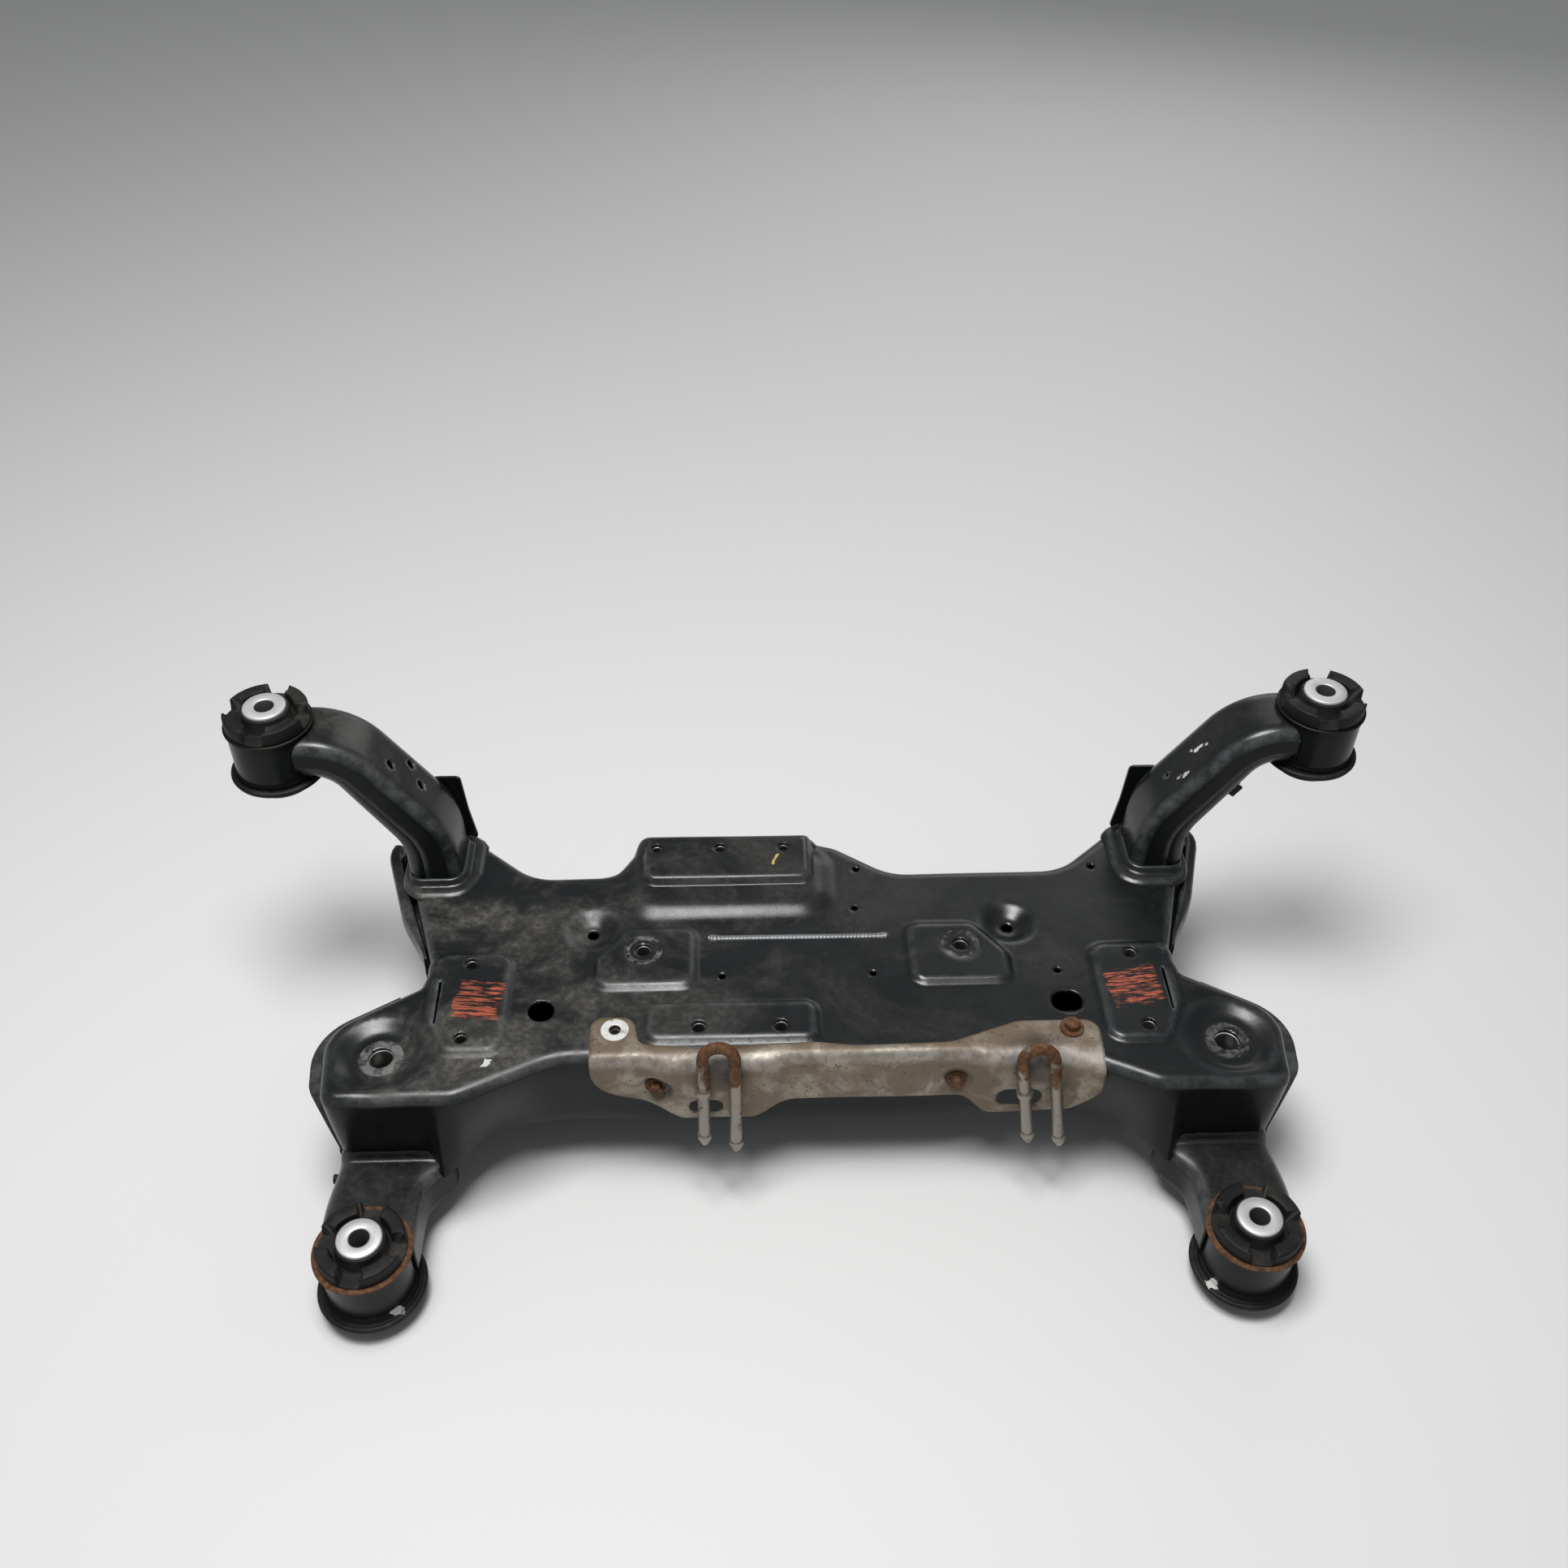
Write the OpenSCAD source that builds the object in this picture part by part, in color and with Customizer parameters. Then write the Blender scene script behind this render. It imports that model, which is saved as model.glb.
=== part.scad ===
// Front subframe of a car: a pressed steel box with two stepped rear arms, two side lobes for
// the control arms, two curved horns to the body rails and four rubber body-mount bushes.
// Frame: +X to the right seen from behind the car, +Y to the front of the car, +Z up.
// Origin: middle of the part, on the surface that it stands on. Sizes are in millimetres.

/* [Body mounts] */
// Half the distance between the two rear bushes
rear_bush_x = 354; // [346:1:362]
// Distance of the rear bushes behind the middle
rear_bush_y = 173.5; // [168:0.5:180]
// Half the distance between the two front bushes
front_bush_x = 449; // [442:1:458]
// Distance of the front bushes ahead of the middle
front_bush_y = 176.5; // [174:0.5:180]
// Height of the top face of the front sleeves
front_top_z = 335; // [330:1:345]

/* [Bushes] */
// Length of an inner sleeve
sleeve_len = 84; // [80:1:90]
// Outer radius of an inner sleeve
sleeve_r = 18; // [16:0.5:20]
// Radius of the bolt bore in a sleeve
sleeve_bore_r = 8; // [6:0.5:10]
// Outer radius of a housing tube
tube_r = 35.5; // [34.5:0.5:36.5]
// Wall of a housing tube
tube_wall = 3; // [2:0.5:4]
// Height of a housing tube
tube_h = 40; // [36:1:42]
// Wall of a bush can
can_wall = 1.6; // [1:0.2:2.4]
// Radius of the can flange on a rear bush
rear_flange_r = 39.5; // [38:0.5:42]
// Radius of the can flange on a front bush
front_flange_r = 37.5; // [37:0.5:42]
// Radius of the lower rubber disc on a rear bush
rear_disc_r = 44; // [42:0.5:46]
// Radius of the lower rubber disc on a front bush
front_disc_r = 41; // [40:0.5:46]
// Thickness of the lower rubber disc
disc_t = 9; // [6:0.5:11]
// Radius of the groove line near the rim of the disc, measured from the rim
disc_groove = 5; // [3:0.5:8]
// Height of the raised rubber blocks
block_h = 11.5; // [8:0.5:12]
// Width of the gaps between the raised rubber blocks
block_gap = 18; // [12:1:22]
// Turn of those gaps away from the axes, in degrees
block_turn = 8; // [0:1:12]

/* [Pressed shells] */
// Height of the top face of the deck
deck_z = 149; // [146:0.5:152]
// Thickness of the pressed sheet
sheet = 2.6; // [2:0.1:3.2]
// Bend radius where the deck turns down into its walls
deck_bend = 10; // [7:0.5:12]
// Height of the lower edge of the box walls
wall_z = 60; // [56:0.5:66]
// Distance of the near wall's face from the middle plane
near_wall_y = 54; // [52:0.5:56]
// Top face of the rear arms, below the bush flanges
arm_drop = 0.8; // [0.4:0.1:2]
// Height of the lower edge of the rear arms
arm_bottom_z = 30; // [28:0.5:33]
// Width of a rear arm
arm_w = 71; // [68:0.5:73]
// Gap left between welded pieces
weld_gap = 0.2; // [0.1:0.05:0.3]

/* [Control arm seats] */
// Half the distance between the rear seat bolts
lobe_x = 347.5; // [344:0.5:350]
// Distance of the rear seat bolts behind the middle
lobe_y = 45; // [42:0.5:48]
// Radius of a rear seat bolt hole
lobe_hole_r = 10; // [8:0.5:12]
// Depth of the dish around a rear seat bolt hole
lobe_dish = 6; // [4:0.5:8]
// Radius of the dish at deck level
lobe_dish_r = 40; // [36:0.5:42]
// Width of the brim around a lobe
brim_w = 11; // [8:0.5:13]
// Depth of the brim below the deck
brim_drop = 17; // [14:0.5:20]
// Clear width of a front bracket
clevis_gap = 56; // [50:1:58]
// Distance of a front bracket's middle ahead of the middle of the part
clevis_y = 112; // [110:0.5:114]
// Thickness of a front bracket's plates
clevis_t = 4; // [3:0.5:5]
// Height of the front pivot bolt
pivot_z = 42; // [40:1:46]
// Half the distance between the front pivot bolts
pivot_x = 312; // [306:1:316]
// Radius of the front pivot bolt hole
pivot_r = 7.1; // [5:0.1:8]

/* [Horns] */
// Half the distance between the horn roots
horn_root_x = 328; // [326:0.5:330]
// Width of a horn, front to back
horn_w = 55; // [52:0.5:56]
// Depth of a horn's section at the root
horn_root_d = 44; // [40:0.5:46]
// Depth of a horn's section at the bush
horn_tip_d = 34; // [30:0.5:35]
// Height where a horn starts to lean outward
horn_knee_z = 198; // [190:1:204]
// Height of a horn's middle at the bush
horn_tip_z = 294.5; // [294:0.5:296]
// Length of a horn's level part, from its upper corner to the bush
horn_reach = 57; // [52:1:62]
// Top of the upright gussets
gusset_top_z = 224; // [216:1:230]

/* [Deck fittings] */
// Half the distance between the steering rack holes
rack_x = 137.5; // [134:0.5:141]
// Distance of the rack holes ahead of the middle
rack_y = 60; // [56:0.5:64]
// Radius of the rack holes
rack_hole_r = 6.5; // [5:0.5:8]
// Half the distance between the stabiliser clamps
clamp_x = 283.5; // [281:0.5:286]
// Distance between the two holes of a stabiliser clamp
clamp_pitch = 80.5; // [76:0.5:84]
// Radius of the stabiliser clamp holes
clamp_hole_r = 5.5; // [4:0.5:6.5]
// Height of the raised pads
pad_h = 4; // [3:0.5:5]
// Height of the three-hole pad
tall_pad_h = 12; // [10:0.5:14]
// Distance between neighbouring holes of the three-hole pad
tall_pad_pitch = 58; // [56:0.5:60]
// Radius of the holes of the three-hole pad
tall_pad_hole_r = 5; // [4:0.5:6]
// Distance between the holes of the two-hole pad
low_pad_pitch = 68; // [64:0.5:72]
// Radius of the holes of the two-hole pad
low_pad_hole_r = 6; // [4:0.5:7]

/* [Exhaust bracket] */
// Thickness of the bracket sheet
bracket_t = 2; // [1.5:0.1:2.5]
// Stand-off of the bracket's face from the near wall
bracket_gap = 10; // [8:0.5:12]
// Height of the lower edge of the bracket
bracket_bottom_z = 97; // [92:1:104]
// Radius of a hanger rod
rod_r = 5; // [4:0.5:6]
// Distance between the legs of a hanger rod
rod_pitch = 26; // [22:1:30]
// Radius of the bracket's bolt holes
bracket_hole_r = 4.2; // [3.5:0.1:5]

/* [Hidden] */
$fn = 48;

paint_black = [0.10, 0.11, 0.12];
paint_dusty = [0.16, 0.16, 0.16];
rubber_black = [0.05, 0.05, 0.05];
bare_alloy = [0.80, 0.81, 0.82];
galvanised = [0.62, 0.58, 0.50];
rusty_steel = [0.42, 0.28, 0.17];
rod_steel = [0.55, 0.52, 0.47];

arc_step = 18;          // turn of each straight piece in a rounded corner
bend_steps = 3;         // straight pieces in each bend of a pressing
pad_steps = 2;          // straight pieces in the edge of a raised pad
tight_r = 0.6;          // smallest corner radius left on an inset outline
cut = 1;                // overshoot of a cutting solid

rear_top_z = sleeve_len;
sides = [-1, 1];
under_deck_z = deck_z - sheet;

// Outline of the deck's right side, from the near edge round the lobe and the horn root to the
// front edge, as corners with their radius
deck_side = [
    [205, -near_wall_y, 70],
    [283, -near_wall_y - 38, 30],
    [lobe_x + 42.5, -near_wall_y - 38, 16],
    [lobe_x + 52.5, 40 - lobe_y, 45],
    [322, 58, 25],
    [369, 214, 14],
    [305, 214, 14],
    [240, 156, 50]
];
// Front edge between the two sides, with the three-hole pad left of the middle
tall_pad_x = -70.8;
tall_pad_y = 176;
pad_right_x = tall_pad_x + tall_pad_pitch + 26.8;
pad_left_x = tall_pad_x - tall_pad_pitch - 14.2;
function front_edge(out) = [
    [pad_right_x + 71, 155, 50], [pad_right_x + 22, tall_pad_y + out - 7, 30],
    [pad_right_x, tall_pad_y + out, 14], [pad_left_x, tall_pad_y + out, 12], [pad_left_x - 20, 157, 30]
];
deck_front = front_edge(21);
deck_outline = concat(deck_side, deck_front, mirrored(deck_side));

// Outline of the lower shell: as the deck, but straight past the seats of the control arms
pocket_x = 314;
lower_side = [
    [205, -near_wall_y, 70],
    [283, -near_wall_y - 38, 30],
    [pocket_x, -near_wall_y - 38, 12],
    [pocket_x, 20, 24],
    [322, 58, 20],
    [369, 214, 14],
    [305, 214, 14],
    [240, 156, 50]
];
lower_outline = concat(lower_side, front_edge(17), mirrored(lower_side));

// Right rear arm in plan: from inside the box to the middle of the bush
arm_top_z = rear_top_z - 18 - arm_drop;
arm_root_x = rear_bush_x - 5.5;
arm_inner_y = -near_wall_y - 33.5;
arm_knee_y = -near_wall_y - 64;
function arm_outline(end_y) = [
    [arm_root_x - arm_w / 2, end_y, 3],
    [arm_root_x - arm_w / 2, arm_knee_y, 30],
    [rear_bush_x - arm_w / 2, -rear_bush_y, 3],
    [rear_bush_x + arm_w / 2, -rear_bush_y, 3],
    [arm_root_x + arm_w / 2, arm_knee_y, 30],
    [arm_root_x + arm_w / 2, end_y, 3]
];
arm_solid = arm_outline(arm_inner_y);
arm_hollow = arm_outline(arm_inner_y + 2 * sheet);
arm_tray = arm_outline(arm_inner_y + 5.5);
arm_bend = 8;

flange_z = 18;          // underside of a can flange below the top of its sleeve
flange_t = 1.8;
disc_top = 60;          // top of the lower rubber disc below the top of the sleeve
fit_gap = 0.05;         // pressed parts of a bush
can_r = tube_r - tube_wall - fit_gap;
rubber_r = can_r - can_wall - fit_gap;
bond_r = sleeve_r + fit_gap;

low_pad_x = -55;        // middle of the two-hole pad
low_pad_y = -27;
dimple_x = 183;
dimple_y = 88;
dimple_r = 24;
dimple_flat_r = 11;
lobe_flat_r = 24;
dimple_depth = 8;
dimple_hole_r = 5;
clamp_mid_y = 6.5;
big_hole_x = 220.5;
big_hole_y = -4;

clevis_lo_y = clevis_y - clevis_gap / 2;
clevis_hi_y = clevis_y + clevis_gap / 2;
clevis_in_x = 262;
clevis_out_x = 334;

bracket_x0 = -178;
bracket_x1 = 242;
face_y = -near_wall_y - bracket_gap;   // inner face of the bracket's upright part
flange_edge_y = -43.5;
tab_hole = [-158, -27];
deck_bolt = [219, -35];
wall_bolt_x = [-125, 123];
wall_bolt_z = 116;
cup_r = 13;
rod_x = [-72.5, 187];
rod_arc_z = [158, 150];
rod_lean = 11;
rod_yaw = [0, 7];
leg_len = [[80, 88], [76, 84]];

function xy(p) = [p[0], p[1]];
function unit(v) = v / norm(v);
function clamp1(v) = max(-1, min(1, v));
function mirrored(pts) = [for (i = [len(pts) - 1:-1:0]) [-pts[i][0], pts[i][1], pts[i][2]]];
function outward(a, b) = let (d = unit(b - a)) [d[1], -d[0]];

// Corners of a counter-clockwise outline moved inward by d, with their radii to match
function inset_corners(pts, d) = [
    for (i = [0:len(pts) - 1])
        let (
            a = xy(pts[(i + len(pts) - 1) % len(pts)]),
            b = xy(pts[i]),
            c = xy(pts[(i + 1) % len(pts)]),
            n1 = outward(a, b),
            n2 = outward(b, c),
            p = b - (n1 + n2) * d / (1 + n1 * n2),
            r = pts[i][2],
            convex = cross(b - a, c - b) > 0
        )
        [p[0], p[1], convex ? max(r - d, tight_r) : r + d]
];

// Arc of radius r that rounds the corner b between a and c
function corner_arc(a, b, c, r, steps) =
    let (
        u = unit(a - b),
        w = unit(c - b),
        angle = acos(clamp1(u * w)),
        o = b + unit(u + w) * r / sin(angle / 2),
        p = b + u * r / tan(angle / 2),
        start = atan2(p[1] - o[1], p[0] - o[0]),
        sweep = (180 - angle) * sign(cross(b - a, c - b))
    )
    [for (k = [0:steps]) o + r * [cos(start + sweep * k / steps), sin(start + sweep * k / steps)]];

// Turn at the corner b of the way from a to c
function turn_at(a, b, c) = acos(clamp1(unit(b - a) * unit(c - b)));
function rounded(pts) = [
    for (i = [0:len(pts) - 1])
        let (
            a = xy(pts[(i + len(pts) - 1) % len(pts)]),
            b = xy(pts[i]),
            c = xy(pts[(i + 1) % len(pts)])
        )
        each corner_arc(a, b, c, pts[i][2], ceil(turn_at(a, b, c) / arc_step))
];

// Bend profile of a pressing as [inset, height] pairs, from its edge z0 up round a bend to z1
function bend_up(z0, z1, r, steps = bend_steps) = concat(
    [[0, z0]],
    [for (k = [0:steps]) [r * (1 - cos(90 * k / steps)), z1 - r + r * sin(90 * k / steps)]]
);
function bend_down(z0, z1, r) = concat(
    [for (k = [0:bend_steps]) [r * (1 - sin(90 * k / bend_steps)), z0 + r - r * cos(90 * k / bend_steps)]],
    [[0, z1]]
);

// Solid through rings of equal length, each ring counter-clockwise about the way to the next
module ring_solid(rings) {
    n = len(rings[0]);
    m = len(rings);
    polyhedron(
        points = [for (ring = rings) each ring],
        faces = concat(
            [[for (i = [0:n - 1]) i]],
            [[for (i = [n - 1:-1:0]) (m - 1) * n + i]],
            [for (k = [0:m - 2]) for (i = [0:n - 1])
                [k * n + i, (k + 1) * n + i, (k + 1) * n + (i + 1) % n, k * n + (i + 1) % n]]
        )
    );
}

// Solid of an outline with a bend profile; d moves all of it inward
module press_solid(outline, profile, d = 0) {
    ring_solid([for (s = profile) [for (p = rounded(inset_corners(outline, s[0] + d))) [p[0], p[1], s[1]]]]);
}

module both_sides() {
    for (s = sides) scale_x(s) children();
}

module scale_x(s) {
    if (s > 0) children();
    else mirror([1, 0, 0]) children();
}

module outline_plate(outline, z, t) {
    translate([0, 0, z]) linear_extrude(t) polygon(rounded(outline));
}

module block(x0, x1, y0, y1, z0, z1) {
    translate([x0, y0, z0]) cube([x1 - x0, y1 - y0, z1 - z0]);
}

module drill(x, y, r, z0, z1) {
    translate([x, y, z0]) cylinder(r = r, h = z1 - z0);
}

// Rectangle with rounded corners, as an outline
function pad_corners(x, y, w, l, r) = [
    [x - w / 2, y - l / 2, r], [x + w / 2, y - l / 2, r], [x + w / 2, y + l / 2, r], [x - w / 2, y + l / 2, r]
];
// Raised pads as [outline, height, edge radius]: those on both sides, and those of their own
clamp_near_y = clamp_mid_y - clamp_pitch / 2 - 13.75;
clamp_far_y = clamp_mid_y + clamp_pitch / 2 + 11.75;
clamp_pad = [
    [clamp_x - 34.5, clamp_near_y, 12], [clamp_x + 14.5, clamp_near_y, 12],
    [clamp_x + 32, clamp_mid_y - 14, 20], [clamp_x + 32, clamp_far_y, 12], [clamp_x - 34.5, clamp_far_y, 12]
];
rack_pad = [
    [rack_x - 45, rack_y - 41, 14], [rack_x + 40, rack_y - 41, 14], [rack_x + 40, rack_y - 10, 14],
    [rack_x + 13, rack_y + 26, 14], [rack_x - 45, rack_y + 26, 14]
];
low_pad = pad_corners(low_pad_x - 6.5, low_pad_y + 7.25, low_pad_pitch + 73, 39.5, 12);
tall_pad = pad_corners(tall_pad_x + 6.5, tall_pad_y - 11.5, 2 * tall_pad_pitch + 37, 63, 12);
tall_pad_foot = pad_corners(tall_pad_x + 6.5, tall_pad_y - 36, 2 * tall_pad_pitch + 60, 76, 30);
side_pads = [[clamp_pad, pad_h, pad_h - 1], [rack_pad, pad_h, pad_h - 1]];
own_pads = [
    [low_pad, pad_h, pad_h - 1], [tall_pad_foot, tall_pad_h / 2, tall_pad_h / 3],
    [tall_pad, tall_pad_h, tall_pad_h / 3]
];
pad_root_z = deck_z - deck_bend - 4;

module raised_pad(pad, d) {
    press_solid(pad[0], bend_up(pad_root_z - d, deck_z + pad[1] - d, max(pad[2] - d, tight_r), pad_steps), d);
}

// All raised pads: their outer form, or the hollow under them when d is the sheet
module raised_pads(d) {
    both_sides() for (pad = side_pads) raised_pad(pad, d);
    for (pad = own_pads) raised_pad(pad, d);
}

// Round dishes pressed into the deck: the hollow above, or the form below when d is the sheet
module dishes(d) {
    both_sides() {
        dish_cone(lobe_x, -lobe_y, lobe_flat_r, lobe_dish_r, lobe_dish, d);
        dish_cone(dimple_x, dimple_y, dimple_flat_r, dimple_r, dimple_depth, d);
    }
}

module dish_cone(x, y, flat_r, rim_r, depth, d) {
    slope = (rim_r - flat_r) / depth;
    translate([x, y, deck_z - depth - d])
        cylinder(r1 = flat_r, r2 = rim_r + slope * cut, h = depth + cut, $fn = 40);
}

// Opening in the outer wall of a lobe, where the control arm's rear bush goes in
neck_x = 332;
beyond_x = lobe_x + 72.5;   // past the brims of the lobes
pocket_near_y = -74;
pocket_far_y = 52;
brim_z = deck_z - brim_drop;

module lobe_window() {
    block(neck_x, beyond_x, pocket_near_y, pocket_far_y, wall_z - cut, brim_z);
}

module lobe_brim() {
    intersection() {
        translate([0, 0, brim_z]) linear_extrude(sheet) difference() {
            polygon(rounded(inset_corners(deck_outline, -brim_w)));
            polygon(rounded(inset_corners(deck_outline, sheet / 2)));
        }
        block(neck_x, beyond_x, pocket_near_y, 46, brim_z - cut, brim_z + 2 * sheet);
    }
}

// Opening in the side wall for the control arm's front bush, with a lip over it
lip_w = 9;
lip_z = 118;

module clevis_window() {
    block(neck_x - 26, beyond_x, clevis_lo_y - clevis_t - 1, clevis_hi_y + clevis_t + 1, wall_z - cut, lip_z);
}

module side_lip() {
    intersection() {
        translate([0, 0, lip_z]) linear_extrude(sheet) difference() {
            polygon(rounded(inset_corners(deck_outline, -lip_w)));
            polygon(rounded(inset_corners(deck_outline, sheet / 2)));
        }
        block(318, beyond_x, 66, 216, lip_z - cut, lip_z + 2 * sheet);
    }
}

// Upright lip of the deck around the foot of a horn
collar_h = 9;
collar_gap = 0.4;
collar_t = 3;

module horn_collar() {
    gap = collar_gap + collar_t;
    w = horn_root_d + 2 * gap;
    l = horn_w + 2 * gap;
    translate([0, 0, under_deck_z + sheet / 2]) linear_extrude(collar_h + sheet / 2) difference() {
        polygon(rounded(pad_corners(horn_root_x, front_bush_y, w, l, 12)));
        polygon(rounded(pad_corners(horn_root_x, front_bush_y, w - 2 * collar_t, l - 2 * collar_t, 9)));
    }
}

module deck_holes() {
    top = deck_z + tall_pad_h + cut;
    low = under_deck_z - dimple_depth - cut;
    for (s = sides) {
        drill(s * rack_x, rack_y, rack_hole_r, low, top);
        for (e = sides) drill(s * clamp_x, clamp_mid_y + e * clamp_pitch / 2, clamp_hole_r, low, top);
        block(s * 307.5 - 1.2, s * 307.5 + 1.2, -18, 28, low, top);
    }
    for (i = [-1:1]) drill(tall_pad_x + i * tall_pad_pitch, tall_pad_y, tall_pad_hole_r, low, top);
    for (e = sides) drill(low_pad_x + e * low_pad_pitch / 2, low_pad_y, low_pad_hole_r, low, top);
    drill(-big_hole_x, big_hole_y, 11, low, top);
    outline_plate(pad_corners(big_hole_x, big_hole_y, 26, 22, 10), low, top - low);
    for (p = [[53, 157], [48.5, 108], [269, 155], [218, 30.5], [59.5, 30.5], [-69.5, 30.5]])
        drill(p[0], p[1], 3, low, top);
    for (p = [tab_hole, deck_bolt]) drill(p[0], p[1], bracket_hole_r + 0.3, low, top);
    for (x = wall_bolt_x)
        translate([x, -near_wall_y - cut, wall_bolt_z]) rotate([-90, 0, 0])
            cylinder(r = bracket_hole_r + 0.3, h = sheet + 2 * cut);
}

// The pressing without its drilled holes
module deck_pressing() {
    difference() {
        union() {
            press_solid(deck_outline, bend_up(wall_z, deck_z, deck_bend));
            both_sides() press_solid(arm_solid, bend_up(arm_bottom_z, arm_top_z, arm_bend));
            raised_pads(0);
        }
        dishes(0);
        difference() {
            union() {
                press_solid(deck_outline, bend_up(wall_z - cut, under_deck_z, deck_bend - sheet), sheet);
                both_sides()
                    press_solid(arm_hollow, bend_up(arm_bottom_z - cut, arm_top_z - sheet, arm_bend - sheet),
                                sheet);
                raised_pads(sheet);
            }
            dishes(sheet);
        }
        both_sides() {
            lobe_window();
            clevis_window();
        }
    }
    both_sides() {
        lobe_brim();
        side_lip();
        horn_collar();
    }
}

// Overall width of the pressing, over the brims of its lobes or over its arms
arm_reach = rear_bush_x + arm_w / 2;
brim_reach = max([for (p = rounded(inset_corners(deck_outline, -brim_w))) p[0]]);
pressing_w = 2 * max(arm_reach, brim_reach);

module upper_shell() color(paint_black) difference() {
    resize([pressing_w, 0, 0]) deck_pressing();
    deck_holes();
    both_sides() {
        drill(lobe_x, -lobe_y, lobe_hole_r, under_deck_z - 2 * lobe_dish, deck_z + cut);
        drill(dimple_x, dimple_y, dimple_hole_r, under_deck_z - 2 * dimple_depth, deck_z + cut);
        drill(rear_bush_x, -rear_bush_y, tube_r + weld_gap, 0, rear_top_z);
    }
}

// The lower shell sits inside the walls of the upper one
nest = sheet + weld_gap;
floor_z = wall_z - 2;
tray_top_z = wall_z + 26;
arm_floor_z = arm_bottom_z - 1;

lobe_plate = [
    [pocket_x - 12, pocket_near_y - 12, 2],
    [lobe_x + 42, pocket_near_y - 12, 16],
    [lobe_x + 52.5, 40 - lobe_y, 45],
    [pocket_x - 12, 44, 4]
];
floor_bend = 6;
arm_floor_bend = 5;

// Inner wall of the pocket for the control arm's rear bush
module pocket_wall() {
    x = pocket_x - nest - sheet / 2;
    block(x - 1, x + 1, pocket_near_y + 8, 12, tray_top_z - 8, under_deck_z - lobe_dish - weld_gap);
}

// The lower pressing without its drilled holes
module floor_pressing() {
    difference() {
        union() {
            press_solid(lower_outline, bend_down(floor_z, tray_top_z, floor_bend), nest);
            both_sides() press_solid(arm_tray, bend_down(arm_floor_z, floor_z + 2, arm_floor_bend), nest);
        }
        press_solid(lower_outline, bend_down(floor_z + sheet, tray_top_z + cut, floor_bend - sheet),
                    nest + sheet);
        both_sides()
            press_solid(arm_tray, bend_down(arm_floor_z + sheet, floor_z + 6, arm_floor_bend - sheet),
                        nest + sheet);
        both_sides()
            block(clevis_in_x - weld_gap, beyond_x, clevis_lo_y - clevis_t - weld_gap,
                  clevis_hi_y + clevis_t + weld_gap, floor_z - cut, tray_top_z + cut);
    }
    both_sides() {
        outline_plate(lobe_plate, floor_z, sheet);
        pocket_wall();
    }
}

// Overall width of the lower pressing, over its lobes or over its arms
floor_w = 2 * max(arm_reach - nest, max([for (p = rounded(lobe_plate)) p[0]]));

module lower_shell() color(paint_black) difference() {
    resize([floor_w, 0, 0]) floor_pressing();
    both_sides() {
        drill(lobe_x, -lobe_y, lobe_hole_r, floor_z - cut, floor_z + sheet + cut);
        drill(rear_bush_x, -rear_bush_y, tube_r + weld_gap, 0, rear_top_z);
    }
}

// Front seat of a control arm: two plates and a web, hung in the side of the box
module control_arm_bracket(s) {
    plate = [[clevis_in_x, 0, 3], [clevis_out_x, 0, 18], [clevis_out_x, under_deck_z - 14, 12],
             [clevis_out_x - 16, under_deck_z - weld_gap, 6], [clevis_in_x, under_deck_z - weld_gap, 3]];
    scale_x(s) color(paint_black) difference() {
        union() {
            for (y = [clevis_lo_y - clevis_t, clevis_hi_y])
                translate([0, y + clevis_t, 0]) rotate([90, 0, 0]) linear_extrude(clevis_t)
                    polygon(rounded(plate));
            block(clevis_in_x, clevis_in_x + clevis_t, clevis_lo_y - clevis_t / 2, clevis_hi_y + clevis_t / 2,
                  3, under_deck_z - 4);
        }
        translate([pivot_x, clevis_lo_y - clevis_t - cut, pivot_z]) rotate([-90, 0, 0])
            cylinder(r = pivot_r, h = clevis_gap + 2 * clevis_t + 2 * cut);
    }
}

// Middle line of a horn in its upright plane, as [x, z], with its lean from the vertical
horn_steps = 6;
horn_foot_z = deck_z + weld_gap;
horn_a = [horn_root_x, horn_foot_z];
horn_b = [horn_root_x, horn_knee_z];
horn_c = [front_bush_x - horn_reach, horn_tip_z];
horn_d = [front_bush_x, horn_tip_z];
horn_lean = atan2(horn_c[0] - horn_b[0], horn_c[1] - horn_b[1]);
horn_line = concat([horn_a], corner_arc(horn_a, horn_b, horn_c, 70, horn_steps),
                   corner_arc(horn_b, horn_c, horn_d, 48, horn_steps), [horn_d]);
horn_leans = concat([0], [for (k = [0:horn_steps]) horn_lean * k / horn_steps],
                    [for (k = [0:horn_steps]) horn_lean + (90 - horn_lean) * k / horn_steps], [90]);
horn_bend = 9;
seam = -5;              // lap seam below the middle of the section
lap = 4;

// Section depth of a horn, narrowing evenly with height
function horn_depth(z) =
    horn_root_d + (horn_tip_d - horn_root_d) * min(1, (z - horn_foot_z) / (horn_tip_z - horn_foot_z));

// Channel section as [across, up]: the cap of the horn is at top, its open edge at edge
function channel(half_w, top, edge, t) =
    let (up = sign(top - edge), outer = horn_half(half_w, top, edge, horn_bend),
         inner = horn_half(half_w - t, top - up * t, edge, horn_bend - t))
    concat(outer, [for (i = [len(inner) - 1:-1:0]) inner[i]]);
function horn_half(half_w, top, edge, r) =
    let (up = sign(top - edge), w = half_w * up)
    concat([[w, edge]], corner_arc([w, edge], [w, top], [-w, top], r, bend_steps),
           corner_arc([w, top], [-w, top], [-w, edge], r, bend_steps), [[-w, edge]]);

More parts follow.
